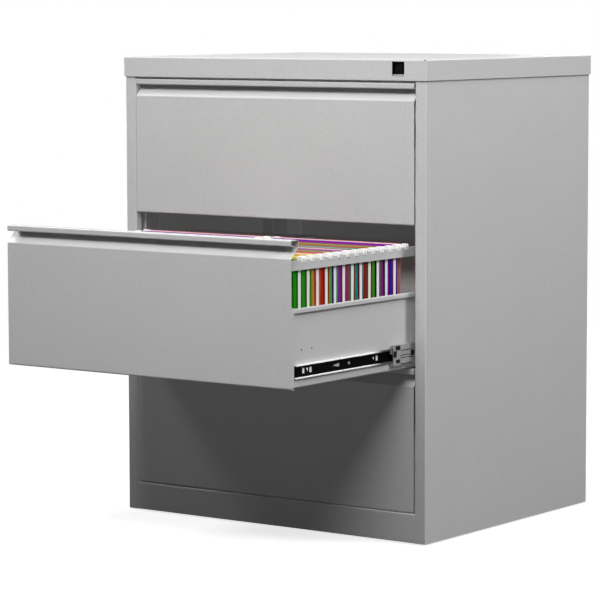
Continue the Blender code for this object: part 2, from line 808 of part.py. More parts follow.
def lock_bar():
    """Notched bar behind the right uprights that the crank lifts and lowers."""
    inner = HEM_OUTER + 3 * CLEARANCE
    outer = inner + BAR_WIDTH
    pin_x = LOCK_X + crank_pin().x
    pin_z = LOCK_Z + CRANK_PIN_RISE
    slot_radius = CRANK_PIN_RADIUS + PIN_PLAY
    head_reach = pin_x - slot_radius - BAR_MARGIN
    head_high = pin_z + slot_radius + BAR_MARGIN
    head_low = pin_z - slot_radius - 2 * BAR_MARGIN
    low = FIRST_DRAWER + STUD_HEIGHT - BAR_TAIL
    outline = [
        (head_reach, head_low),
        (inner, head_low),
        (inner, low),
        (outer, low),
        (outer, head_high),
        (head_reach, head_high),
    ]
    bar = prism("Y", outline, BAR_FRONT, BAR_REAR)
    slot_start = (pin_x, pin_z)
    slot_end = (pin_x + CRANK_PIN_SWAY, pin_z)
    tools = [prism("Y", stadium(slot_start, slot_end, slot_radius, slot_radius),
                   BAR_FRONT - BAR_THICKNESS, BAR_REAR + BAR_THICKNESS)]
    notch_depth = SIDE_OUTER + STUD_LENGTH + 2 * CLEARANCE
    for _, bottom in drawer_bottoms():
        middle = bottom + STUD_HEIGHT
        reach = STUD_RADIUS + STUD_PLAY
        tools.append(block((inner - BAR_MARGIN, BAR_FRONT - BAR_THICKNESS, middle - reach),
                           (notch_depth, BAR_REAR + BAR_THICKNESS, middle + reach)))
    return cut(bar, tools)


def file_row():
    """One row of linked suspension files, hung by their hanger bars."""
    near = CENTRE_RAIL_WIDTH / 2 + FILE_END_GAP
    far = RAIL_OUTER - RAIL_THICKNESS - FILE_END_GAP
    crest = RAIL_TOP + FILE_RISE
    trough = TRAY_FLOOR + FILE_FLOOR_GAP
    flat = FILE_PITCH / 2 - FILE_LEAN
    path = []
    for place in range(FILE_COUNT):
        start = FILE_SETBACK + place * FILE_PITCH
        path += [
            (start, crest),
            (start + flat, crest),
            (start + flat + FILE_LEAN, trough),
            (start + FILE_PITCH - FILE_LEAN, trough),
        ]
    last = FILE_SETBACK + FILE_COUNT * FILE_PITCH
    path += [(last, crest), (last + flat, crest)]
    card = folded_sheet("X", path, near, far, FILE_CARD, -1)
    hangers = []
    for place in range(FILE_COUNT + 1):
        middle = FILE_SETBACK + place * FILE_PITCH + flat / 2
        hangers.append(block(
            (near - HANGER_REST, middle - HANGER_WIDTH / 2, RAIL_TOP + CLEARANCE),
            (far + HANGER_REST, middle + HANGER_WIDTH / 2, RAIL_TOP + CLEARANCE + HANGER_HEIGHT),
        ))
    return join(card, hangers)


def build_carcase(root, finishes):
    """Place the fixed pieces of the cabinet."""
    paint = finishes["paint"]
    zinc = finishes["zinc"]
    add_pair("{}_side_panel", side_panel(), paint, root)
    add_part("back_panel", back_panel(), paint, root)
    add_part("top_cap", top_cap(), paint, root)
    add_part("header_rail", header_rail(), paint, root)
    add_part("plinth_rail", plinth_rail(), paint, root)
    add_part("base_pan", base_pan(), paint, root)
    add_pair("{}_front_upright", upright(FRONT_UPRIGHT_SETBACK, FRONT_UPRIGHT_WIDTH), zinc, root)
    rear_start = REAR_UPRIGHT_BACK - REAR_UPRIGHT_WIDTH
    add_pair("{}_rear_upright", upright(rear_start, REAR_UPRIGHT_WIDTH), zinc, root)
    foot = levelling_foot()
    for side_name, end_name, x, y in foot_places():
        add_part(f"{side_name}_{end_name}_foot", foot, finishes["black"], root, (x, y, 0))


def build_lock(root, finishes):
    """Place the lock and the bar that it drives."""
    add_part("lock_housing", lock_housing(), finishes["black"], root)
    axis = add_anchor("lock_axis", (LOCK_X, 0, LOCK_Z), root)
    add_part("lock_plug", lock_plug(), finishes["steel"], axis)
    add_part("lock_rod", lock_rod(), finishes["steel"], axis)
    add_part("lock_bar", lock_bar(), finishes["zinc"], root)


def build_drawers(root, finishes):
    """Place the three drawers and their slides, the open one out on them."""
    paint = finishes["paint"]
    zinc = finishes["zinc"]
    pieces = [
        ("tray", drawer_tray(), paint),
        ("back", drawer_back(), paint),
        ("centre_rail", centre_rail(), paint),
    ]
    rail = side_rail()
    outer = outer_slide()
    ball = ball_slide()
    inner = inner_slide()
    for name, bottom in drawer_bottoms():
        opening = DRAWER_OPENING if name == OPEN_DRAWER else 0.0
        slide_height = bottom + SLIDE_CENTRE
        add_pair(name + "_{}_slide_outer", outer, zinc, root, (0, 0, slide_height))
        ball_place = (0, -opening * BALL_SLIDE_RATIO, slide_height)
        add_pair(name + "_{}_slide_balls", ball, zinc, root, ball_place)
        drawer = add_anchor(f"{name}_drawer", (0, -opening, bottom), root)
        below = PLINTH_GAP if name == DRAWER_NAMES[0] else DRAWER_GAP
        add_part(f"{name}_drawer_front", drawer_front(below - FACE_GAP), paint, drawer)
        add_part(f"{name}_drawer_front_liner", front_liner(below - FACE_GAP), paint, drawer)
        for piece, mesh, finish in pieces:
            add_part(f"{name}_drawer_{piece}", mesh, finish, drawer)
        add_pair(name + "_drawer_{}_rail", rail, paint, drawer)
        add_pair(name + "_{}_slide_inner", inner, finishes["black"], drawer, (0, 0, SLIDE_CENTRE))
        if name == OPEN_DRAWER:
            add_pair("{}_file_row", file_row(), finishes["card"], drawer)


def main():
    """Build the cabinet."""
    root = add_anchor("cabinet", (0, CABINET_Y, 0))
    finishes = {
        "paint": make_finish("light_grey_powder_coat", (0.52, 0.52, 0.52), 0.45, 0.0),
        "zinc": make_finish("zinc_plated_steel", (0.55, 0.56, 0.58), 0.35, 1.0),
        "steel": make_finish("bright_steel", (0.6, 0.6, 0.62), 0.25, 1.0),
        "black": make_finish("black_finish", (0.012, 0.012, 0.012), 0.4, 0.0),
        "card": make_finish("file_card", (0.12, 0.35, 0.12), 0.8, 0.0),
    }
    build_carcase(root, finishes)
    build_lock(root, finishes)
    build_drawers(root, finishes)


clear_scene()
cabinet = make_collection("filing_cabinet")
cutters = make_collection("cutters")
main()
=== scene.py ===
"""Dressed model of a light grey steel filing cabinet, its middle drawer open on two rows of files."""

import logging
import math
from dataclasses import dataclass
from enum import Enum
from functools import partial
from typing import Any, Callable, Iterable, Sequence

import bmesh
import bpy
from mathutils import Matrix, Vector


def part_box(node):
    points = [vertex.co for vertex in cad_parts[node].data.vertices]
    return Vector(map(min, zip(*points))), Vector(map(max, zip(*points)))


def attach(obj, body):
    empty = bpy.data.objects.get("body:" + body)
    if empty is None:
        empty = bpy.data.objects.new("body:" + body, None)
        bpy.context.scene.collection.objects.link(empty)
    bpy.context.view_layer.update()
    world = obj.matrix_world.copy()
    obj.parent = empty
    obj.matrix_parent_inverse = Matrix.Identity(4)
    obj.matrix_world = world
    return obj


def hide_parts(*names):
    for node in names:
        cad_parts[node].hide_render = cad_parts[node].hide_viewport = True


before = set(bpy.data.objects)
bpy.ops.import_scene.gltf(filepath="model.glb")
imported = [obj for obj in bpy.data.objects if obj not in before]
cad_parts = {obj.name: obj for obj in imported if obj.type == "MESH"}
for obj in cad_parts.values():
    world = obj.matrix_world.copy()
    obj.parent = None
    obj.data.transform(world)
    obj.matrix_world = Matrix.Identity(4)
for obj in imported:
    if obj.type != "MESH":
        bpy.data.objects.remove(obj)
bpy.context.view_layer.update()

FILE_NUMBER = "file_number"
MM = 0.001
# Most of a noise pattern lies between these values.
NOISE_SPAN = {"From Min": 0.3, "From Max": 0.7}
LOG = logging.getLogger("filing_cabinet")

Point2 = tuple[float, float]
Point3 = tuple[float, float, float]
Rect = tuple[float, float, float, float]
Outline = tuple[Point2, ...]
Prism = tuple[Sequence[Point3], Point3]
Node = bpy.types.Node
Socket = bpy.types.NodeSocket
Adder = Callable[..., Node]
Sockets = dict[str, Any]
Shape = bmesh.types.BMesh
Mesh = bpy.types.Mesh


class Drawer(Enum):
    """The three drawers, from the floor up."""

    BOTTOM = "bottom"
    MIDDLE = "middle"
    TOP = "top"

    @property
    def body(self) -> str:
        """The body that moves with the drawer, which also starts the names of its nodes."""
        return f"{self.value}_drawer"


class Side(Enum):
    """The two sides of the cabinet, seen from the front."""

    LEFT = -1
    RIGHT = 1

    @property
    def word(self) -> str:
        """The side's name, as the nodes and bodies spell it."""
        return self.name.lower()

    def faces(self, node: str) -> Point2:
        """X of a node's face that looks to the cabinet's middle, and of the one that looks away from it."""
        low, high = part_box(node)
        return (low.x, high.x) if self is Side.RIGHT else (high.x, low.x)


class Slot(Enum):
    """The record's material slots, one listed with each added piece."""

    CARD = "file_card"
    PLASTIC = "black_plastic"
    ZINC = "zinc_steel"
    STEEL = "bright_steel"
    PAINT = "grey_paint"
    SLIDE = "black_slide"


class Link(Enum):
    """What a lamp's list of nodes means: it lights only them, or all but them."""

    ONLY = "INCLUDE"
    ALL_BUT = "EXCLUDE"


def linear(hex_colour: str) -> tuple[float, float, float, float]:
    """Turn an sRGB hex colour into a linear one.

    Args:
        hex_colour: The colour as "#RRGGBB".

    Returns:
        Linear red, green, blue and an alpha of 1.
    """
    digits = hex_colour.lstrip("#")
    values = [int(digits[i:i + 2], 16) / 255 for i in (0, 2, 4)]
    bent = [v / 12.92 if v <= 0.04045 else ((v + 0.055) / 1.055) ** 2.4 for v in values]
    return (bent[0], bent[1], bent[2], 1.0)


def add_node(tree: bpy.types.NodeTree, kind: str, inputs: dict[Any, Any] | None = None,
             **settings: Any) -> Node:
    """Add a node with its settings, values and links.

    Args:
        tree: The node tree that gets the node.
        kind: The node's type name.
        inputs: Socket name or number to a value, to the output socket that feeds it, or to the node whose
            first output in use feeds it.
        settings: The node's own properties.

    Returns:
        The new node.
    """
    node = tree.nodes.new(kind)
    for name, value in settings.items():
        setattr(node, name, value)
    for key, value in (inputs or {}).items():
        if isinstance(value, Node):
            value = next(output for output in value.outputs if output.enabled)
        if isinstance(value, Socket):
            tree.links.new(value, node.inputs[key])
        else:
            node.inputs[key].default_value = value
    return node


def empty_tree(owner: bpy.types.ID) -> Adder:
    """Clear the nodes of a material or a world.

    Args:
        owner: The material or world.

    Returns:
        What adds new nodes to it.
    """
    owner.use_nodes = True
    owner.node_tree.nodes.clear()
    return partial(add_node, owner.node_tree)


@dataclass(frozen=True)
class Finish:
    """A procedural finish on a Principled shader."""

    name: str

    def material(self) -> bpy.types.Material:
        """Make the material, or give the one that is there already."""
        made = bpy.data.materials.get(self.name)
        if made is None:
            made = bpy.data.materials.new(self.name)
            add = empty_tree(made)
            place = add("ShaderNodeTexCoord").outputs["Object"]
            shader = add("ShaderNodeBsdfPrincipled", self.paint(add, place))
            add("ShaderNodeOutputMaterial", {"Surface": shader})
        return made

    def paint(self, add: Adder, place: Socket) -> Sockets:
        """Draw the patterns that feed the shader.

        Args:
            add: Adds a node to the material.
            place: Object coordinates in metres.

        Returns:
            The shader's sockets by name, each with its value or the pattern that feeds it.
        """
        raise NotImplementedError


@dataclass(frozen=True)
class TwoTone(Finish):
    """A finish that lies between two tones."""

    pale: str
    deep: str

    def skin(self, add: Adder, tone: Node, grain: Node, gloss: Point2, relief: Point2) -> Sockets:
        """Draw colour by one pattern, gloss and relief by another.

        Args:
            add: Adds a node to the material.
            tone: The pattern that goes from the deep tone to the pale one.
            grain: The pattern of gloss and relief.
            gloss: Least and most roughness.
            relief: Strength of the relief, and its depth in mm.

        Returns:
            The shader's sockets for colour, roughness and normal.
        """
        return {
            "Base Color": add("ShaderNodeMix", {0: tone, 6: linear(self.deep), 7: linear(self.pale)},
                              data_type="RGBA"),
            "Roughness": add("ShaderNodeMapRange", {
                "Value": grain, **NOISE_SPAN, "To Min": gloss[0], "To Max": gloss[1]}),
            "Normal": add("ShaderNodeBump", {
                "Height": grain, "Strength": relief[0], "Distance": relief[1] * MM})}


@dataclass(frozen=True)
class PowderCoat(TwoTone):
    """Polyester powder baked on folded steel sheet.

    The powder melts into a low-sheen skin with a fine orange peel, so the light breaks up into a soft
    grain. The real peel is about 1 mm across and is drawn at 2.4 mm, the least that shows here.
    Faces that look halfway between sideways and up, as on the cap's side folds, get a painted highlight: a pale
    line.
    """

    # Colour of the painted highlight on folds, none where empty.
    fold: str = ""
    peel_mm: float = 2.4
    drift_mm: float = 160.0
    drift_share: float = 0.15
    tone_half: float = 0.275
    fold_play: float = 0.06

    def paint(self, add: Adder, place: Socket) -> Sockets:
        """Grain in colour, gloss and relief, a slow drift in tone across each sheet, and a painted fold
        highlight.
        """
        grain = add("ShaderNodeTexNoise", {
            "Vector": place, "Scale": 1 / (self.peel_mm * MM), "Detail": 2.0, "Roughness": 0.55})
        drift = add("ShaderNodeTexNoise", {"Vector": place, "Scale": 1 / (self.drift_mm * MM), "Detail": 1.0})
        blend = add("ShaderNodeMath", {0: drift, 1: self.drift_share, 2: grain}, operation="MULTIPLY_ADD")
        middle = (1 + self.drift_share) / 2
        tone = add("ShaderNodeMapRange", {
            "Value": blend, "From Min": middle - self.tone_half, "From Max": middle + self.tone_half})
        skin = self.skin(add, tone, grain, (0.42, 0.54), (0.10, 0.4))
        # Painted highlight: faces that look about halfway between sideways and up take the pale fold colour.
        if self.fold:
            facing = add("ShaderNodeSeparateXYZ", {0: place.node.outputs["Normal"]}).outputs
            aside = add("ShaderNodeMath", {0: facing["X"], 1: facing["X"]}, operation="MULTIPLY")
            above = add("ShaderNodeMath", {0: aside, 1: facing["Z"]}, operation="MULTIPLY")
            fold_highlight_mask = add("ShaderNodeMath", {0: above, 1: math.sqrt(0.5) ** 3, 2: self.fold_play},
                          operation="COMPARE")
            skin["Base Color"] = add("ShaderNodeMix", {0: fold_highlight_mask, 6: skin["Base Color"], 7: linear(self.fold)},
                                     data_type="RGBA")
        return {**skin, "IOR": 1.5}


@dataclass(frozen=True)
class ZincPlate(TwoTone):
    """Electroplated zinc on rolled steel strip.

    Dull silver, cloudy where the plating took unevenly, and fine lines along
    the rolling direction. The lines are drawn 0.8 mm apart.
    """

    metal: float
    gloss: Point2 = (0.30, 0.46)
    cloud_mm: float = 22.0
    line_mm: float = 0.8

    def paint(self, add: Adder, place: Socket) -> Sockets:
        """Clouds in colour, rolling lines in gloss and relief."""
        cloud = add("ShaderNodeTexNoise", {"Vector": place, "Scale": 1 / (self.cloud_mm * MM), "Detail": 3.0})
        along = add("ShaderNodeMapping", {"Vector": place, "Scale": (1.0, 0.02, 1.0)})
        lines = add("ShaderNodeTexNoise", {"Vector": along, "Scale": 1 / (self.line_mm * MM), "Detail": 1.0})
        return {**self.skin(add, cloud, lines, self.gloss, (0.08, 0.2)), "Metallic": self.metal}


@dataclass(frozen=True)
class BlackedSlide(Finish):
    """Black electrophoretic coat on the drawer's slide member, with painted highlights along its edges.

    Satin black on the web, and two painted highlight bands, near white, along its top and bottom.
    The bands fade towards the rear end as painted shade.
    """

    centre_z: float
    front_y: float
    # Where the painted highlight starts to fade towards the rear, over what length, and to what share: painted
    # shade.
    run_mm: float = 262.0
    fade_mm: float = 40.0
    faded: float = 0.07
    band_mm: float = 11.7
    lift_mm: float = 0.4
    soft_mm: float = 0.9
    black: str = "#010101"
    # Colour of the painted highlight bands.
    rubbed: str = "#FFFFFF"
    shine: float = 0.05
    rub_mm: float = 9.0
    ragged_mm: float = 1.2

    def paint(self, add: Adder, place: Socket) -> Sockets:
        """A painted highlight band by height, ragged and fading to the rear, drives colour, metal and gloss."""
        spot = add("ShaderNodeSeparateXYZ", {0: place}).outputs
        lift = add("ShaderNodeMath", {0: spot["Z"], 1: self.centre_z - self.lift_mm * MM}, operation="SUBTRACT")
        away = add("ShaderNodeMath", {0: lift}, operation="ABSOLUTE")
        ragged_noise = add("ShaderNodeTexNoise", {"Vector": place, "Scale": 1 / (self.rub_mm * MM), "Detail": 2.0})
        ragged = add("ShaderNodeMath", {0: ragged_noise, 1: self.ragged_mm * MM, 2: away}, operation="MULTIPLY_ADD")
        edge = self.band_mm * MM
        band = add("ShaderNodeMapRange", {
            "Value": ragged, "From Min": edge, "From Max": edge + self.soft_mm * MM})
        # Painted shade: the highlight falls to a small share towards the rear end.
        run = self.front_y + self.run_mm * MM
        reach = add("ShaderNodeMapRange", {
            "Value": spot["Y"], "From Min": run, "From Max": run + self.fade_mm * MM,
            "To Min": 1.0, "To Max": self.faded})
        highlight_mask = add("ShaderNodeMath", {0: band, 1: reach}, operation="MULTIPLY")
        return {
            "Base Color": add("ShaderNodeMix", {0: highlight_mask, 6: linear(self.black), 7: linear(self.rubbed)},
                              data_type="RGBA"),
            "Metallic": add("ShaderNodeMath", {0: highlight_mask, 1: self.shine}, operation="MULTIPLY"),
            "Roughness": add("ShaderNodeMapRange", {
                "Value": ragged_noise, **NOISE_SPAN, "To Min": 0.44, "To Max": 0.56}),
            "Specular IOR Level": 0.03}


@dataclass(frozen=True)
class TurnedSteel(TwoTone):
    """Nickel-plated turned steel: bright, with fine tool marks that spread the highlight.

    The marks are drawn 0.6 mm apart.
    """

    mark_mm: float = 0.6

    def paint(self, add: Adder, place: Socket) -> Sockets:
        """Tool marks in colour, gloss and relief."""
        marks = add("ShaderNodeTexNoise", {"Vector": place, "Scale": 1 / (self.mark_mm * MM), "Detail": 2.0})
        return {**self.skin(add, marks, marks, (0.18, 0.32), (0.05, 0.1)), "Metallic": 1.0}


@dataclass(frozen=True)
class MouldedPlastic(TwoTone):
    """Injection-moulded plastic with a fine spark texture from the mould.

    The texture is about 0.3 mm on the real one and is drawn at 1.2 mm, so that it shows.
    """

    gloss: float = 0.45
    shine: float = 0.5
    sill_below: float | None = None
    sill: str = "#969695"
    spark_mm: float = 1.2

    def paint(self, add: Adder, place: Socket) -> Sockets:
        """Spark texture, and a painted sill below a height where the piece has one."""
        spark = add("ShaderNodeTexNoise", {"Vector": place, "Scale": 1 / (self.spark_mm * MM), "Detail": 2.0})
        skin = self.skin(add, spark, spark, (self.gloss - 0.05, self.gloss + 0.08), (0.12, 0.2))
        if self.sill_below is not None:
            height = add("ShaderNodeSeparateXYZ", {0: place}).outputs["Z"]
            below = add("ShaderNodeMath", {0: height, 1: self.sill_below}, operation="LESS_THAN")
            skin["Base Color"] = add("ShaderNodeMix", {0: below, 6: skin["Base Color"], 7: linear(self.sill)},
                                     data_type="RGBA")
        return {**skin, "IOR": 1.53, "Specular IOR Level": self.shine}


def colour_by_file(add: Adder, colours: Sequence[str]) -> Node:
    """Pick a colour by the number that each file carries.

    Args:
        add: Adds a node to the material.
        colours: One colour to each file, from the front.

    Returns:
        The node that gives the colour.
    """
    count = len(colours)
    which = add("ShaderNodeAttribute", attribute_name=FILE_NUMBER).outputs["Fac"]
    middle = add("ShaderNodeMath", {0: which, 1: 0.5}, operation="ADD")
    share = add("ShaderNodeMath", {0: middle, 1: float(count)}, operation="DIVIDE")
    ramp = add("ShaderNodeValToRGB", {0: share})
    stops = ramp.color_ramp
    stops.interpolation = "CONSTANT"
    while len(stops.elements) < count:
        stops.elements.new(1.0)
    for index, colour in enumerate(colours):
        stops.elements[index].position = index / count
        stops.elements[index].color = linear(colour)
    return ramp


@dataclass(frozen=True)
class DyedCard(Finish):
    """Dyed pressboard of the files: matt, mottled by its fibres, one colour to each file.

    The number that each file carries picks its colour. The fibres are drawn 3 mm long.
    """

    colours: tuple[str, ...]
    fibre_mm: float = 3.0

    def paint(self, add: Adder, place: Socket) -> Sockets:
        """Pick the colour by file, then mottle it with fibres."""
        dye = colour_by_file(add, self.colours)
        along = add("ShaderNodeMapping", {"Vector": place, "Scale": (0.35, 1.0, 1.0)})
        fibre = add("ShaderNodeTexNoise", {
            "Vector": along, "Scale": 1 / (self.fibre_mm * MM), "Detail": 4.0, "Roughness": 0.65})
        lift = add("ShaderNodeMapRange", {"Value": fibre, **NOISE_SPAN, "To Min": 0.82, "To Max": 1.12})
        return {
            "Base Color": add("ShaderNodeMix", {0: 1.0, 6: dye, 7: lift},
                              data_type="RGBA", blend_type="MULTIPLY"),
            "Normal": add("ShaderNodeBump", {"Height": fibre, "Strength": 0.15, "Distance": 0.3 * MM}),
            "Roughness": 0.82, "Specular IOR Level": 0.05}


@dataclass(frozen=True)
class SheetPaper(Finish):
    """Uncoated white office paper in stacks: matt white, its sheet edges read as fine grey lines.

    A sheet is 0.1 mm thick. The lines are drawn 1.1 mm apart, so that the stack still looks like sheets.
    The card around a stack throws some of its colour on it; that reflected colour is painted into the paper.
    """

    tints: tuple[str, ...]
    white: str = "#FFFFFF"
    gap: str = "#EBEAE6"
    line_mm: float = 1.1
    # Share of the painted reflected colour.
    tint: float = 0.55

    def paint(self, add: Adder, place: Socket) -> Sockets:
        """Lines across the stack, wandering a little, in colour and relief."""
        along = add("ShaderNodeMapping", {"Vector": place, "Scale": (0.02, 1.0, 0.02)})
        lines = add("ShaderNodeTexNoise", {"Vector": along, "Scale": 1 / (self.line_mm * MM), "Detail": 2.0})
        tone = add("ShaderNodeMapRange", {"Value": lines, "From Min": 0.36, "From Max": 0.54})
        stack = add("ShaderNodeMix", {0: tone, 6: linear(self.gap), 7: linear(self.white)}, data_type="RGBA")
        return {
            # Painted reflection: a pale colour for each file, from its card, mixed into its papers.
            "Base Color": add("ShaderNodeMix", {0: self.tint, 6: stack, 7: colour_by_file(add, self.tints)},
                              data_type="RGBA"),
            "Normal": add("ShaderNodeBump", {"Height": lines, "Strength": 0.2, "Distance": 0.3 * MM}),
            "Roughness": 0.9}


PAINT = PowderCoat("grey_powder_coat", pale="#CDCDCD", deep="#BDBDBD")
# The cap's coat has a painted highlight along its side folds.
CAP_PAINT_WITH_HIGHLIGHT = PowderCoat("grey_powder_coat_cap", pale=PAINT.pale, deep=PAINT.deep, fold="#E4E4E4")
# Near-white coat on the slide tabs and the plinth's roll: a painted highlight where light catches them.
PALE_HIGHLIGHT_COAT = PowderCoat("pale_thin_coat", pale="#FFFFFF", deep="#EFEFEE")
ZINC = ZincPlate("zinc_plated_strip", pale="#C9C9C8", deep="#A2A2A2", metal=0.6)
# Uprights are cut from hot-dip galvanised strip: matt pale grey, with hardly any shine left.
GALVANISED = ZincPlate("galvanised_strip", pale="#BEBEBE", deep="#B0B0B0", metal=0.1, gloss=(0.5, 0.6))
STEEL = TurnedSteel("nickel_plated_steel", pale="#BFC1C2", deep="#8F9294")
# Black nylon of the feet and stops, also used as painted shade: slide lines, side hole discs and cap corner
# slits.
BLACK_NYLON_AND_SHADE = MouldedPlastic("black_nylon", pale="#141415", deep="#0A0A0B", shine=0.15)
CAGE = MouldedPlastic("grey_ball_cage", pale="#757575", deep="#626262", shine=0.2)
BLACKED_PLUG = MouldedPlastic("blacked_lock_plug", pale="#0E0E0F", deep="#070708", gloss=0.3, shine=0.15)
HOOK_PLASTIC = MouldedPlastic("white_abs", pale="#FFFFFF", deep="#F2F2F0", gloss=0.32)
FILE_COLOURS = (
    "#2A8A18", "#2E8420", "#B8803A", "#B02020", "#4A9E4E", "#742A86", "#8E3C38",
    "#1E8478", "#8A1E22", "#2E8A26", "#84207A", "#20188E", "#CC8680")
# The inner folders' own hues, made darker partly as painted shade.
FOLDER_COLOURS_WITH_SHADE = (
    "#1B6418", "#1E5A1C", "#8A2A1E", "#7A141A", "#2A1A4A", "#6A1A5E", "#4A565E",
    "#4A1620", "#5A3A22", "#101410", "#2A1030", "#5A2A5E", "#A05848")
STRIP_COLOURS = (
    "#D8B83A", "#C8862E", "#CDB98A", "#A85878", "#7E7C3C", "#8E3E7E", "#B49A9E",
    "#74867E", "#8E5846", "#8A7C3E", "#7E2670", "#66147E", "#D4A6B2")
PAPER_BOUNCE_COLOURS = (
    "#D5EAD8", "#DDE6BE", "#F4D2D4", "#D6EBD2", "#E0D2F0", "#F2D4D8", "#CDEBE0",
    "#F2D6DA", "#DDE8CC", "#F0D4E8", "#DAD6F6", "#F2DAD8", "#F0E0DC")
PAPER = SheetPaper("office_paper", PAPER_BOUNCE_COLOURS)
CARD = DyedCard("dyed_pressboard", FILE_COLOURS)
LAST_CARD = DyedCard("dyed_pressboard_last", FILE_COLOURS[-1:])
INSERT = DyedCard("dyed_inner_folder", FOLDER_COLOURS_WITH_SHADE)
TITLE = DyedCard("tinted_title_strip", STRIP_COLOURS)


def rectangle(start: float, end: float, low: float, high: float) -> list[Point2]:
    """The corners of a rectangle, from two places along it and two heights."""
    return [(start, low), (end, low), (end, high), (start, high)]


def ribbon(path: Sequence[Point2], thickness: float) -> list[Point2]:
    """Give an open path a thickness.

    Args:
        path: The points of the path.
        thickness: Thickness of the sheet that follows it.

    Returns:
        The closed outline of the sheet.
    """
    points = [Vector(point) for point in path]
    near: list[Point2] = []
    far: list[Point2] = []
    for index, point in enumerate(points):
        before = points[max(index - 1, 0)]
        after = points[min(index + 1, len(points) - 1)]
        run = (after - before).normalized()
        side = Vector((-run.y, run.x)) * (thickness / 2)
        near.append(tuple(point + side))
        far.append(tuple(point - side))
    return near + far[::-1]


def shape_of(prisms: Iterable[Prism]) -> Shape:
    """Work prisms into one shape.

    Args:
        prisms: The corners of each one's flat end, and the way from that end to the other.

    Returns:
        The shape, still open to more work.
    """
    shape = bmesh.new()
    for outline, travel in prisms:
        near = [shape.verts.new(corner) for corner in outline]
        far = [shape.verts.new(Vector(corner) + Vector(travel)) for corner in outline]
        shape.faces.new(near)
        shape.faces.new(list(reversed(far)))
        for index, corner in enumerate(near):
            following = (index + 1) % len(near)
            shape.faces.new((corner, near[following], far[following], far[index]))
    return shape


def solid(shape: Shape) -> Mesh:
    """Turn a shape into a mesh whose faces point outwards.

    Args:
        shape: The shape, which is freed.

    Returns:
        The mesh.
    """
    bmesh.ops.recalc_face_normals(shape, faces=shape.faces)
    mesh = bpy.data.meshes.new("piece")
    shape.to_mesh(mesh)
    shape.free()
    return mesh


def dress(mesh: Mesh, finish: Finish) -> None:
    """Give a mesh one finish and no other."""
    mesh.materials.clear()
    mesh.materials.append(finish.material())


def new_piece(name: str, mesh: Mesh, finish: Finish) -> bpy.types.Object:
    """Put a mesh in the scene at the origin with its finish.

    Args:
        name: Name of the piece.
        mesh: Its mesh, already in place.
        finish: Its finish.

    Returns:
        The new object.
    """
    piece = bpy.data.objects.new(name, mesh)
    bpy.context.scene.collection.objects.link(piece)
    dress(mesh, finish)
    return piece


def settle(piece: bpy.types.Object, body: str, slot: Slot, *replaced: str) -> None:
    """Tie a finished piece to the body it moves with.

    Args:
        piece: The piece.
        body: The body that carries it.
        slot: The record's slot for its finish; not used.
        replaced: CAD nodes that it stands for.
    """
    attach(piece, body)
    if replaced:
        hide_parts(*replaced)
    LOG.info("%s: %d faces on %s", piece.name, len(piece.data.polygons), body)


class RowTree:
    """Geometry Nodes that repeat an object's own mesh along a line, such as files or screws."""

    NAME = "row_of_copies"
    SOCKETS = (
        ("Count", "NodeSocketInt"), ("Step", "NodeSocketVector"), ("First", "NodeSocketVector"),
        ("Shift", "NodeSocketFloat"), ("Lean", "NodeSocketFloat"), ("Seed", "NodeSocketInt"),
        ("Finish", "NodeSocketMaterial"))

    def __init__(self) -> None:
        """Build the tree once."""
        tree = bpy.data.node_groups.new(self.NAME, "GeometryNodeTree")
        for way in ("INPUT", "OUTPUT"):
            tree.interface.new_socket("Geometry", in_out=way, socket_type="NodeSocketGeometry")
        self.keys = {
            name: tree.interface.new_socket(name, in_out="INPUT", socket_type=kind).identifier
            for name, kind in self.SOCKETS}
        add = partial(add_node, tree)
        given = add("NodeGroupInput").outputs
        line = add("GeometryNodeMeshLine", {
            "Count": given["Count"], "Start Location": given["First"], "Offset": given["Step"]}, mode="OFFSET")
        strays: list[Node] = []
        for most, axis, later in (("Shift", "Y", 0.0), ("Lean", "X", 1.0)):
            least = add("ShaderNodeMath", {0: given[most], 1: -1.0}, operation="MULTIPLY")
            seed = add("ShaderNodeMath", {0: given["Seed"], 1: later}, operation="ADD")
            drawn = add("FunctionNodeRandomValue", {2: least, 3: given[most], "Seed": seed}, data_type="FLOAT")
            strays.append(add("ShaderNodeCombineXYZ", {axis: drawn}))
        spread = add("GeometryNodeSetPosition", {"Geometry": line, "Offset": strays[0]})
        copies = add("GeometryNodeInstanceOnPoints", {
            "Points": spread, "Instance": given["Geometry"], "Rotation": strays[1]})
        marked = add("GeometryNodeStoreNamedAttribute", {
            "Geometry": copies, "Name": FILE_NUMBER, "Value": add("GeometryNodeInputIndex")},
            data_type="FLOAT", domain="INSTANCE")
        real = add("GeometryNodeRealizeInstances", {"Geometry": marked})
        dressed = add("GeometryNodeSetMaterial", {"Geometry": real, "Material": given["Finish"]})
        add("NodeGroupOutput", {0: dressed})
        self.tree = tree

    def repeat(self, name: str, unit: Mesh, finish: Finish, count: int, first: Point3, step: Point3,
               shift: float = 0.0, lean: float = 0.0, seed: int = 3) -> bpy.types.Object:
        """Repeat a unit along a line and leave a plain mesh.

        Args:
            name: Name of the piece.
            unit: The mesh to repeat.
            finish: Finish of the whole row.
            count: How many there are.
            first: Place of the first one.
            step: The way from one to the next.
            shift: The most that one strays along the depth.
            lean: The most that one leans, in radians.
            seed: Picks how each one strays and leans.

        Returns:
            The finished piece, with no modifier left on it.
        """
        piece = new_piece(name, unit, finish)
        change = piece.modifiers.new(self.NAME, "NODES")
        change.node_group = self.tree
        values = (count, step, first, shift, lean, seed, finish.material())
        for (socket, _), value in zip(self.SOCKETS, values):
            change[self.keys[socket]] = value
        graph = bpy.context.evaluated_depsgraph_get()
        plain = bpy.data.meshes.new_from_object(
            piece.evaluated_get(graph), preserve_all_data_layers=True, depsgraph=graph)
        piece.modifiers.clear()
        piece.data = plain
        dress(plain, finish)
        return piece


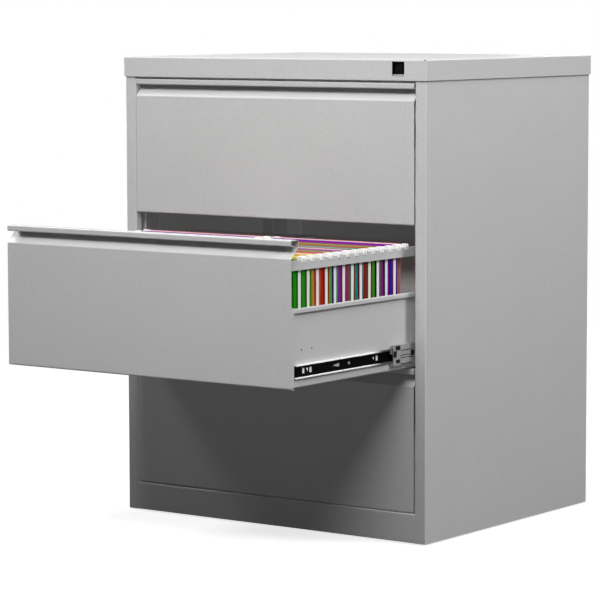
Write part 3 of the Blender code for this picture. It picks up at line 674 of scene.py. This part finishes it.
@dataclass
class FileRow:
    """One row of suspension files that hang between the drawer's rails.

    Heights count from the top of the rails, and distances along the drawer from the middle of a file. A bundle
    of papers is its start and end as shares of the pocket's width, then how much lower and shorter it is. The
    corners of a hook count from the edge of its rail.
    """

    side: Side
    seed: int
    count: int = 13
    filled: int = 12
    pitch: float = 0.0306
    first_inset: float = 0.0262
    shift: float = 0.0007
    lean: float = math.radians(0.25)
    card: float = 0.0008
    end_gap: float = 0.002
    spread: float = 0.0301
    slim: float = 0.0120
    belly_front: float = -0.0200
    belly_drop: float = 0.026
    belly_half: float = 0.003
    waist_drop: float = 0.100
    depth: float = 0.2335
    wall_front: tuple[float, ...] = (-0.0194, -0.0174, -0.0009)
    wall_rear: tuple[float, ...] = (0.0096, 0.0086, 0.0009)
    fold_rise: float = 0.001
    paper_drop: float = 0.018
    paper_near: float = 0.0035
    paper_far: float = 0.001
    wallet_share: Point2 = (0.0, 0.325)
    folder_share: Point2 = (0.331, 0.575)
    folder_step: float = 0.002
    bundles: tuple[Rect, ...] = ((0.582, 0.775, 0.0, 0.0010), (0.78, 0.965, 0.0035, 0.0012))
    bar_front: float = 0.0055
    bar_rear: float = 0.0125
    bar_rise: float = 0.0002
    bar_half: float = 0.0009
    bar_heights: Point2 = (0.0008, 0.0046)
    bar_reach: float = 0.001
    bead_width: float = 0.0032
    bead_foot: float = -0.0006
    bead_top: float = 0.0062
    bead_slope: float = 0.7
    bead_inset: float = 0.010
    strip_width: float = 0.0048
    hook_width: float = 0.0038
    hook_throat: Outline = ((0.012, 0.0002), (0.003, -0.0040), (0.0003, -0.0040), (0.0003, 0.0003))
    hook_neck: Outline = ((0.008, 0.0068), (0.012, 0.0056))
    rail_tip: Outline = (
        (0.0003, 0.0003), (0.0003, -0.006), (0.0017, -0.006), (0.0021, 0.0030), (0.0008, 0.0068))
    centre_tip: Outline = ((0.0055, 0.0003), (0.0055, 0.0040), (0.004, 0.0068))
    hook_round: float = 0.0004
    hook_sharp: float = 0.0012

    def __post_init__(self) -> None:
        """Take the row's place from the rails and the CAD row that it stands for."""
        self.node = f"{self.side.word}_file_row"
        rail = f"{Drawer.MIDDLE.body}_{self.side.word}_rail"
        low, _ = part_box(self.node)
        _, rail_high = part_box(rail)
        self.rail_inner, self.rail_outer = self.side.faces(rail)
        _, self.centre = self.side.faces(f"{Drawer.MIDDLE.body}_centre_rail")
        self.near = self.centre + self.side.value * self.end_gap
        self.far = self.rail_inner - self.side.value * self.end_gap
        self.first = Vector((0.0, low.y + self.first_inset, rail_high.z))

    def across(self, outline: Sequence[Point2], near_inset: float, far_inset: float) -> Prism:
        """Run a section in Y and Z across the drawer.

        Args:
            outline: The section.
            near_inset: How far it starts from the card's end at the centre rail.
            far_inset: How far it stops from the card's end at the side rail.

        Returns:
            The prism.
        """
        begin = self.near + self.side.value * near_inset
        end = self.far - self.side.value * far_inset
        return [(begin, y, z) for y, z in outline], (end - begin, 0, 0)

    def wall(self, share: float, top: float) -> list[Point2]:
        """A line down inside the pocket, at a share of its width.

        Args:
            share: 0 at the front wall, 1 at the rear wall.
            top: Height where the line starts.

        Returns:
            Points from the top to the fold.
        """
        heights = (top, -self.waist_drop, self.fold_rise - self.depth)
        return [(a + (b - a) * share, z) for a, b, z in zip(self.wall_front, self.wall_rear, heights)]

    def pocket(self, width: float) -> Mesh:
        """The folded card of one file, open at the top and slung from its two bars.

        Args:
            width: How far the papers spread it.

        Returns:
            The card with the fold over its rear bar.
        """
        front = self.belly_front
        rear = front + width
        upper, lower = -self.belly_drop + self.belly_half, -self.belly_drop - self.belly_half
        path = [
            (self.bar_front, self.bar_rise), (-0.0050, -0.009), (front + 0.0015, upper),
            (front, lower), (front + 0.002, -self.waist_drop), (-0.0016, -self.depth + 0.002),
            (0.0, -self.depth), (0.0016, -self.depth + 0.002), (rear - 0.001, -self.waist_drop),
            (rear, lower), (rear + 0.0003, upper + 0.001), (self.bar_rear, self.bar_rise)]
        fold = self.bead(self.bar_rear, self.bead_width)
        return solid(shape_of([self.across(ribbon(path, self.card), 0.0, 0.0),
                               self.across(fold, self.bead_inset, self.bead_inset)]))

    def bead(self, y: float, width: float) -> list[Point2]:
        """The fold over a bar, as a section around the bar's place.

        Args:
            y: The bar's place along the drawer.
            width: Width of the fold.

        Returns:
            The corners of the section.
        """
        half = width / 2
        shoulder = self.bead_top - half * self.bead_slope
        return [(y - half, self.bead_foot), (y + half, self.bead_foot), (y + half, shoulder),
                (y, self.bead_top), (y - half, shoulder)]

    def strip(self) -> Mesh:
        """The title strip clipped over the front bar of one file."""
        section = self.bead(self.bar_front, self.strip_width)
        return solid(shape_of([self.across(section, self.bead_inset, self.bead_inset)]))

    def folder(self, start: float, end: float) -> Mesh:
        """A coloured inner folder of one file, between two shares of the pocket's width."""
        section = self.wall(start, -self.paper_drop) + self.wall(end, -self.paper_drop - self.folder_step)[::-1]
        return solid(shape_of([self.across(section, self.paper_near, self.paper_far)]))

    def sheets(self) -> Mesh:
        """The papers of one file, in bundles of different heights and lengths."""
        prisms = []
        for start, end, lower, inset in self.bundles:
            top = -self.paper_drop - lower
            section = self.wall(start, top) + self.wall(end, top)[::-1]
            prisms.append(self.across(section, self.paper_near + inset, self.paper_far + inset))
        return solid(shape_of(prisms))

    def bars(self) -> Mesh:
        """The two flat steel bars in the top folds of one file."""
        return solid(shape_of(
            self.across(rectangle(y - self.bar_half, y + self.bar_half, *self.bar_heights),
                        -self.bar_reach, -self.bar_reach) for y in (self.bar_front, self.bar_rear)))

    def hooks(self) -> Mesh:
        """The plastic tips of one file's bars, notched over the side rail and resting on the centre rail."""
        sign = self.side.value
        profiles = [
            [(edge + way * x, z) for edge, way, corners in runs for x, z in corners] for runs in (
                ((self.rail_inner, -sign, self.hook_throat), (self.rail_outer, sign, self.rail_tip),
                 (self.rail_inner, -sign, self.hook_neck)),
                ((self.centre, sign, self.hook_throat), (self.centre, -sign, self.centre_tip),
                 (self.centre, sign, self.hook_neck)))]
        shape = shape_of(
            ([(x, y - self.hook_width / 2, z) for x, z in profile], (0, self.hook_width, 0))
            for y in (self.bar_front, self.bar_rear) for profile in profiles)
        edges = [edge for edge in shape.edges if edge.calc_length() > self.hook_sharp]
        bmesh.ops.bevel(shape, geom=edges, offset=self.hook_round, segments=1, affect="EDGES",
                        clamp_overlap=True)
        return solid(shape)

    def build(self, tree: RowTree) -> None:
        """Repeat each part of a file along the row and tie it to the drawer.

        Args:
            tree: What repeats it.
        """
        units = (
            ("cards", self.pocket(self.spread), CARD, Slot.CARD, self.filled),
            ("strips", self.strip(), TITLE, Slot.CARD, self.count),
            ("wallets", self.folder(*self.wallet_share), CARD, Slot.CARD, self.filled),
            ("folders", self.folder(*self.folder_share), INSERT, Slot.CARD, self.filled),
            ("papers", self.sheets(), PAPER, Slot.CARD, self.filled),
            ("bars", self.bars(), STEEL, Slot.STEEL, self.count),
            ("hooks", self.hooks(), HOOK_PLASTIC, Slot.CARD, self.count))
        step = (0.0, self.pitch, 0.0)
        for name, unit, finish, slot, count in units:
            piece = tree.repeat(f"{self.side.word}_file_{name}", unit, finish, count, self.first, step,
                                self.shift, self.lean, self.seed)
            replaced = (self.node,) if name == "cards" else ()
            settle(piece, Drawer.MIDDLE.body, slot, *replaced)
        rear = self.first + Vector(step) * self.filled
        slim = tree.repeat(f"{self.side.word}_last_file", self.pocket(self.slim), LAST_CARD, 1, rear, step)
        settle(slim, Drawer.MIDDLE.body, Slot.CARD)


@dataclass
class SlideFittings:
    """The black stops, painted shade lines and the end of the ball cage at the front of one middle slide
    member.

    Distances along the slide count from its front end, and heights from its middle. A rectangle is its start
    and end along the slide, then its lower and upper height.
    """

    drawer: Drawer
    side: Side
    gap: float = 0.0001
    stops: tuple[Rect, ...] = (
        (0.0085, 0.0245, 0.0102, 0.0194), (0.0100, 0.0230, -0.0165, -0.0092),
        (0.0004, 0.0111, -0.0042, 0.0090), (0.0645, 0.0755, -0.0030, 0.0062))
    stop_proud: float = 0.0011
    stop_round: float = 0.0003
    grooves: tuple[Outline, ...] = (
        ((0.026, -0.0030), (0.036, -0.0012), (0.052, -0.0012), (0.062, -0.0026), (0.072, -0.0040)),
        ((0.025, -0.0069), (0.052, -0.0068), (0.072, -0.0074)),
        ((0.026, -0.0193), (0.066, -0.0193)), ((0.028, 0.0087), (0.066, 0.0087)))
    groove_width: float = 0.0016
    groove_proud: float = 0.0002
    cage: Rect = (-0.0080, 0.0040, 0.0030, 0.0125)
    cage_inset: float = 0.0030
    cage_sheet: float = 0.0006
    cage_corner: float = 0.002

    def plate(self, corners: Iterable[Point2], thickness: float, inset: float = 0.0) -> Prism:
        """A flat plate on the outer face of the member's web, or sunk below it.

        Args:
            corners: Its corners, by distance along the slide and height.
            thickness: How far it stands out.
            inset: How deep it starts below the face.

        Returns:
            The prism.
        """
        node = f"{self.drawer.value}_{self.side.word}_slide_balls"
        low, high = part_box(node)
        _, face = self.side.faces(node)
        sign = self.side.value
        x = face + sign * (self.gap - inset)
        middle = (low.z + high.z) / 2
        return [(x, low.y + along, middle + height) for along, height in corners], (sign * thickness, 0, 0)

    def build(self) -> None:
        """Make all three and tie them to the member."""
        stops = shape_of(self.plate(rectangle(*stop), self.stop_proud) for stop in self.stops)
        bmesh.ops.bevel(stops, geom=list(stops.edges), offset=self.stop_round, segments=1, affect="EDGES")
        # Painted shade: thin black strips where the tongue and the bends throw shadow lines on the web.
        grooves = shape_of(
            self.plate(ribbon(path, self.groove_width), self.groove_proud) for path in self.grooves)
        start, end, low, high = self.cage
        cut = self.cage_corner
        corners = ((start, low + cut), (start + cut, low), (end, low), (end, high), (start + cut, high),
                   (start, high - cut))
        cage = shape_of([self.plate(corners, self.cage_sheet, self.cage_inset)])
        word = f"{self.drawer.value}_{self.side.word}"
        for name, shape, finish, slot in (
                ("stops", stops, BLACK_NYLON_AND_SHADE, Slot.PLASTIC), ("grooves", grooves, BLACK_NYLON_AND_SHADE, Slot.ZINC),
                ("cage", cage, CAGE, Slot.PLASTIC)):
            settle(new_piece(f"{word}_slide_{name}", solid(shape), finish), f"{word}_ball_slide", slot)


@dataclass
class DrawerSide:
    """What is on one side of a drawer: tabs that hold the slide member, its rolled lip, and painted shade in
    two holes.

    Distances count from the drawer's front face. Heights of tabs and notches count from the member's middle,
    and those of the dark discs in the holes from the underside of the tray. The lip's section counts outwards
    and upwards from the upper outer edge of the member.
    """

    drawer: Drawer
    side: Side
    tabs: tuple[float, ...] = (0.0560, 0.0805, 0.3130)
    tab_length: float = 0.0066
    tab_depth: float = 0.0100
    notches: tuple[Outline, ...] = (
        ((0.0655, 0.0050), (0.0708, 0.0050), (0.0712, 0.0000), (0.0698, -0.0035), (0.0686, 0.0012),
         (0.0655, 0.0012)),
        ((0.2975, 0.0030), (0.3020, 0.0034), (0.3022, -0.0010), (0.3008, -0.0026), (0.2994, 0.0002)))
    notch_proud: float = 0.0003
    web: float = 0.0013
    lip: Outline = (
        (-0.0003, 0.0000), (0.0002, -0.0003), (0.0009, -0.0044), (0.0007, -0.0047), (0.0003, -0.0044),
        (-0.0003, -0.0006))
    plugs: int = 2
    plug_radius: float = 0.0019
    plug_first: float = 0.052
    plug_step: float = 0.035
    plug_height: float = 0.0750
    plug_sunk: float = 0.0005
    plug_length: float = 0.0006
    plug_corners: int = 12

    def build(self, tree: RowTree) -> None:
        """Make the tabs with the notches beside them, the lip and the holes' painted shade, and tie them to the
        drawer.

        Args:
            tree: What repeats a disc of painted shade.
        """
        word = f"{self.drawer.value}_{self.side.word}"
        member = f"{word}_slide_inner"
        low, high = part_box(member)
        front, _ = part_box(f"{self.drawer.body}_front")
        tray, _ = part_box(f"{self.drawer.body}_tray")
        sign = self.side.value
        inner, outer = self.side.faces(member)
        middle = (low.z + high.z) / 2
        half, tall = self.tab_length / 2, self.tab_depth / 2
        flat = [(inner, rectangle(along - half, along + half, -tall, tall), self.web) for along in self.tabs]
        flat += [(inner + sign * self.web, notch, self.notch_proud) for notch in self.notches]
        tabs = shape_of(([(x, front.y + y, middle + z) for y, z in corners], (sign * proud, 0, 0))
                        for x, corners, proud in flat)
        # The tabs are coated near white as a painted highlight.
        settle(new_piece(f"{word}_slide_tabs", solid(tabs), PALE_HIGHLIGHT_COAT), self.drawer.body, Slot.PAINT)
        lip = shape_of([([(outer + sign * x, low.y, high.z + z) for x, z in self.lip], (0, high.y - low.y, 0))])
        # The lip takes the slide's finish, so the painted highlight band runs along it.
        black = Cabinet().finish_of(member)
        settle(new_piece(f"{word}_slide_lip", solid(lip), black), self.drawer.body, Slot.SLIDE)
        # Painted shade: a black disc sunk in each of the side's holes, where the holes show dark.
        turns = [math.tau * index / self.plug_corners for index in range(self.plug_corners)]
        circle = [(0.0, self.plug_radius * math.cos(turn), self.plug_radius * math.sin(turn)) for turn in turns]
        hole_shade = shape_of([(circle, (-sign * self.plug_length, 0, 0))])
        first = (inner - sign * self.plug_sunk, front.y + self.plug_first, tray.z + self.plug_height)
        step = (0.0, self.plug_step, 0.0)
        plugs = tree.repeat(f"{word}_side_plugs", solid(hole_shade), BLACK_NYLON_AND_SHADE, self.plugs, first, step)
        settle(plugs, self.drawer.body, Slot.PLASTIC)


@dataclass
class BackScrews:
    """Pan-head screws that hold the back panel to the cabinet's rear flanges.

    The profile of a head is a share of its radius and a share of its rise, from the rim to the recess.
    """

    inset: float = 0.011
    gap: float = 0.0001
    radius: float = 0.0042
    rise: float = 0.0018
    profile: Outline = ((1.0, 0.0), (1.0, 0.45), (0.86, 0.8), (0.55, 1.0), (0.30, 1.0), (0.18, 0.35))
    corners: int = 16
    down: int = 7
    across: int = 5

    def head(self) -> Mesh:
        """One screw head with a recess, its axis along the depth."""
        shape = bmesh.new()
        turns = [math.tau * step / self.corners for step in range(self.corners)]
        rings = [[shape.verts.new((share * self.radius * math.cos(turn), lift * self.rise,
                                   share * self.radius * math.sin(turn))) for turn in turns]
                 for share, lift in self.profile]
        for inner, outer in zip(rings, rings[1:]):
            for step in range(self.corners):
                following = (step + 1) % self.corners
                shape.faces.new((inner[step], inner[following], outer[following], outer[step]))
        shape.faces.new(rings[0])
        shape.faces.new(rings[-1])
        return solid(shape)

    def build(self, tree: RowTree) -> None:
        """Run a row of screws down each edge of the back and one along its top and bottom.

        Args:
            tree: What repeats a screw.
        """
        low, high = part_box("back_panel")
        left, right = low.x + self.inset, high.x - self.inset
        foot, top = low.z + self.inset, high.z - self.inset
        y = high.y + self.gap
        rise = (0.0, 0.0, (top - foot) / (self.down - 1))
        run = (right - left) / (self.across + 1)
        rows = (("left", (left, y, foot), rise, self.down),
                ("right", (right, y, foot), rise, self.down),
                ("lower", (left + run, y, foot), (run, 0.0, 0.0), self.across),
                ("upper", (left + run, y, top), (run, 0.0, 0.0), self.across))
        for name, first, step, count in rows:
            piece = tree.repeat(f"back_screws_{name}", self.head(), STEEL, count, first, step)
            settle(piece, "cabinet", Slot.STEEL)


@dataclass
class ShellMarks:
    """What the making leaves on the shell: the plinth's roll, its ground welds and the cap's corner holes.

    The roll stands on the plinth's upper fold, coated near white as a painted highlight. A weld runs down each
    end of the plinth and is ground flush. Where the cap's folded edges meet, a hole is left at its right
    corners, drawn as black slits of painted shade.
    """

    roll_back: float = 0.0020
    roll_half: float = 0.0016
    roll_rise: float = 0.0010
    roll_sunk: float = 0.0006
    roll_steps: int = 6
    weld_inner: float = 0.0030
    weld_outer: float = 0.0045
    skin: float = 0.00006
    skin_gap: float = 0.00002
    fold: float = 0.0025
    hole_inset: float = 0.0045
    hole_half: float = 0.0022
    hole_turn: Point2 = (15.0, 75.0)
    hole_steps: int = 4

    def roll(self) -> Shape:
        """The rounded upper edge of the plinth, along its whole width."""
        low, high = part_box("plinth_rail")
        turns = [math.pi * step / self.roll_steps for step in range(self.roll_steps + 1)]
        middle, foot = low.y + self.roll_back, high.z - self.roll_sunk
        tall = self.roll_sunk + self.roll_rise
        outline = [(low.x, middle - self.roll_half * math.cos(turn), foot + tall * math.sin(turn))
                   for turn in turns]
        return shape_of([(outline, (high.x - low.x, 0, 0))])

    def welds(self) -> Shape:
        """A flush skin over the seam at each end of the plinth."""
        low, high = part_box("plinth_rail")
        y = low.y - self.skin_gap
        return shape_of(
            ([(x, y, z) for x, z in rectangle(end - sign * self.weld_inner, end + sign * self.weld_outer,
                                              low.z + self.fold, high.z - self.fold)], (0, -self.skin, 0))
            for end, sign in ((low.x, -1), (high.x, 1)))

    def corner_holes(self) -> Shape:
        """A black slit of painted shade for the hole, along the fold at each right corner of the cap."""
        low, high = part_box("top_cap")
        start, end = (math.radians(turn) for turn in self.hole_turn)
        turns = [start + (end - start) * step / self.hole_steps for step in range(self.hole_steps + 1)]
        reach = self.fold + self.skin_gap + self.skin / 2
        begin = high.x - self.hole_inset - self.hole_half
        prisms = []
        for edge, inward in ((low.y, 1), (high.y, -1)):
            path = [(edge + inward * (self.fold - reach * math.cos(turn)),
                     high.z - self.fold + reach * math.sin(turn)) for turn in turns]
            prisms.append(([(begin, y, z) for y, z in ribbon(path, self.skin)], (2 * self.hole_half, 0, 0)))
        return shape_of(prisms)

    def build(self) -> None:
        """Make all three and tie them to the shell."""
        # The roll is coated near white as a painted highlight, and the corner slits are black as painted shade.
        for name, shape, finish, slot in (
                ("plinth_rolled_edge", self.roll(), PALE_HIGHLIGHT_COAT, Slot.PAINT),
                ("plinth_welds", self.welds(), PAINT, Slot.PAINT),
                ("cap_corner_holes", self.corner_holes(), BLACK_NYLON_AND_SHADE, Slot.PLASTIC)):
            settle(new_piece(name, solid(shape), finish), "cabinet", slot)


@dataclass
class Cabinet:
    """The CAD pieces that stay, each with its finish by the end of its name, or else the shell's paint."""

    lock_sill: float = 0.0039
    endings: tuple[tuple[str, Finish], ...] = (
        ("top_cap", CAP_PAINT_WITH_HIGHLIGHT), ("_foot", BLACK_NYLON_AND_SHADE), ("lock_plug", BLACKED_PLUG), ("lock_rod", STEEL),
        ("upright", GALVANISED), ("slide_outer", ZINC), ("slide_balls", ZINC), ("lock_bar", ZINC),
        ("file_row", CARD))

    def finish_of(self, node: str) -> Finish:
        """Pick the finish of a CAD node.

        Args:
            node: The node's name.

        Returns:
            Its finish.
        """
        low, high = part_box(node)
        if node == "lock_housing":
            return MouldedPlastic("black_lock_housing", pale="#0A0A0B", deep="#050506", shine=0.1,
                                  sill_below=low.z + self.lock_sill)
        if node.endswith("slide_inner"):
            drawer = node.split("_")[0]
            return BlackedSlide(f"blacked_{drawer}_slide", centre_z=(low.z + high.z) / 2, front_y=low.y)
        return next((finish for ending, finish in self.endings if node.endswith(ending)), PAINT)

    def build(self) -> None:
        """Give every CAD node its finish."""
        for name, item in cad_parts.items():
            dress(item.data, self.finish_of(name))
        LOG.info("%d CAD nodes dressed", len(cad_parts))


@dataclass(frozen=True)
class Lamp:
    """One studio lamp, with the nodes that it is linked to. One with no width is a fill without shadows."""

    name: str
    place: Point3
    power: float
    width: float = 0.0
    link: Link = Link.ALL_BUT
    linked: tuple[str, ...] = ()


@dataclass
class Studio:
    """Camera, lamps and the pale floor."""

    eye: Point3 = (3.732, -5.150, 1.126)
    tilt: float = 5.744
    roll: float = 0.127
    turn: float = 35.969
    lens: float = 175.12
    aim: Point3 = (0.0, 0.0, 0.55)
    mirrored: float = 0.40
    floor_size: float = 80.0
    fade_start: float = 1.6
    fade_end: float = 4.0
    glow: float = 0.76
    lamps: tuple[Lamp, ...] = (
        Lamp("front_lamp", (-0.09, -2.70, 3.05), 52.0, 0.9),
        Lamp("right_lamp", (1.25, -1.90, 3.05), 71.0, 1.8),
        Lamp("left_lamp", (-2.24, -0.36, 2.72), 54.0, 0.8),
        Lamp("side_lamp", (3.50, 0.80, 3.42), 114.0, 1.0),
        Lamp("fill", (6.0, -3.5, 1.2), 0.325, linked=tuple(
            f"{drawer.body}_{part}" for drawer in (Drawer.BOTTOM, Drawer.TOP)
            for part in ("back", "front_liner", "left_rail", "centre_rail", "right_rail"))),
        Lamp("mouth_fill", (0.0, -6.0, 1.2), 0.055, link=Link.ONLY, linked=(
            "back_panel", "left_rear_upright", "right_rear_upright")),
        Lamp("back_lamp", (-1.6, 4.6, 1.2), 56.0, 1.2))

    def camera(self) -> None:
        """Stand the camera where the photograph was taken from."""
        data = bpy.data.cameras.new("camera")
        data.lens = self.lens
        data.sensor_width = 36.0
        camera = bpy.data.objects.new("camera", data)
        camera.location = self.eye
        camera.rotation_euler = [math.radians(angle) for angle in (90 - self.tilt, self.roll, self.turn)]
        bpy.context.scene.collection.objects.link(camera)
        bpy.context.scene.camera = camera

    def light(self) -> None:
        """Soft lamps in front, at both sides and behind, and two flat fills without shadows.

        The first fill stays out of the closed drawers, where no light reaches. The second lights only the
        back of the shell, as the light does that wanders in through the open mouth.
        """
        for lamp in self.lamps:
            data = bpy.data.lights.new(lamp.name, "AREA" if lamp.width else "SUN")
            data.energy = lamp.power
            data.use_shadow = lamp.width > 0
            if lamp.width:
                data.shape = "DISK"
                data.size = lamp.width
            item = bpy.data.objects.new(lamp.name, data)
            item.location = lamp.place
            aim = Vector(self.aim) - Vector(lamp.place)
            item.rotation_euler = aim.to_track_quat("-Z", "Y").to_euler()
            bpy.context.scene.collection.objects.link(item)
            if lamp.linked:
                group = bpy.data.collections.new(f"{lamp.name}_links")
                for node in lamp.linked:
                    group.objects.link(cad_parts[node])
                for entry in group.collection_objects:
                    entry.light_linking.link_state = lamp.link.value
                item.light_linking.receiver_collection = group

    def seen(self, add: Adder) -> Node:
        """Tell rays that show the background itself from those that light the object.

        Args:
            add: Adds a node to the material or world.

        Returns:
            The node that gives 1 for the first, less for those that mirror the background, else 0.
        """
        path = add("ShaderNodeLightPath").outputs
        mirror = add("ShaderNodeMath", {0: path["Is Glossy Ray"], 1: self.mirrored}, operation="MULTIPLY")
        first = add("ShaderNodeMath", {0: path["Is Camera Ray"], 1: mirror}, operation="MAXIMUM")
        return add("ShaderNodeMath", {0: first, 1: path["Is Transmission Ray"]}, operation="MAXIMUM")

    def surroundings(self) -> None:
        """A white backdrop that is seen but lights nothing, apart from what mirrors it."""
        world = bpy.data.worlds.new("studio")
        add = empty_tree(world)
        shade = add("ShaderNodeBackground", {"Color": linear("#FFFFFF"), "Strength": self.seen(add)})
        add("ShaderNodeOutputWorld", {"Surface": shade})
        bpy.context.scene.world = world

    def floor(self) -> None:
        """A plain pale floor that keeps the shadow, throws little light back and runs out into white."""
        half = self.floor_size / 2
        mesh = bpy.data.meshes.new("floor")
        mesh.from_pydata([(x, y, 0.0) for x, y in rectangle(-half, half, -half, half)], [], [(0, 1, 2, 3)])
        material = bpy.data.materials.new("pale_floor")
        add = empty_tree(material)
        place = add("ShaderNodeTexCoord").outputs["Object"]
        away = add("ShaderNodeVectorMath", {0: place}, operation="LENGTH").outputs["Value"]
        far = add("ShaderNodeMapRange", {"Value": away, "From Min": self.fade_start, "From Max": self.fade_end})
        dim, pale = (add("ShaderNodeBsdfDiffuse", {"Color": linear(colour)})
                     for colour in ("#303030", "#A8A8A8"))
        glow, white = (add("ShaderNodeEmission", {"Color": linear("#FFFFFF"), "Strength": power})
                       for power in (self.glow, 1.0))
        near = add("ShaderNodeAddShader", {0: pale, 1: glow})
        bright = add("ShaderNodeMixShader", {0: far, 1: near, 2: white})
        either = add("ShaderNodeMixShader", {0: self.seen(add), 1: dim, 2: bright})
        add("ShaderNodeOutputMaterial", {"Surface": either})
        mesh.materials.append(material)
        floor = bpy.data.objects.new("floor", mesh)
        bpy.context.scene.collection.objects.link(floor)

    def build(self) -> None:
        """Set the whole stage."""
        self.camera()
        self.light()
        self.surroundings()
        self.floor()
        bpy.context.scene.view_settings.view_transform = "Standard"


def main() -> None:
    """Dress the cabinet, fill the open drawer and set the stage."""
    logging.basicConfig(level=logging.INFO, format="%(message)s")
    Cabinet().build()
    tree = RowTree()
    for side, seed in ((Side.LEFT, 29), (Side.RIGHT, 11)):
        FileRow(side, seed).build(tree)
    for drawer in Drawer:
        for side in Side:
            SlideFittings(drawer, side).build()
            DrawerSide(drawer, side).build(tree)
    BackScrews().build(tree)
    ShellMarks().build()
    Studio().build()


if __name__ == "__main__":
    main()
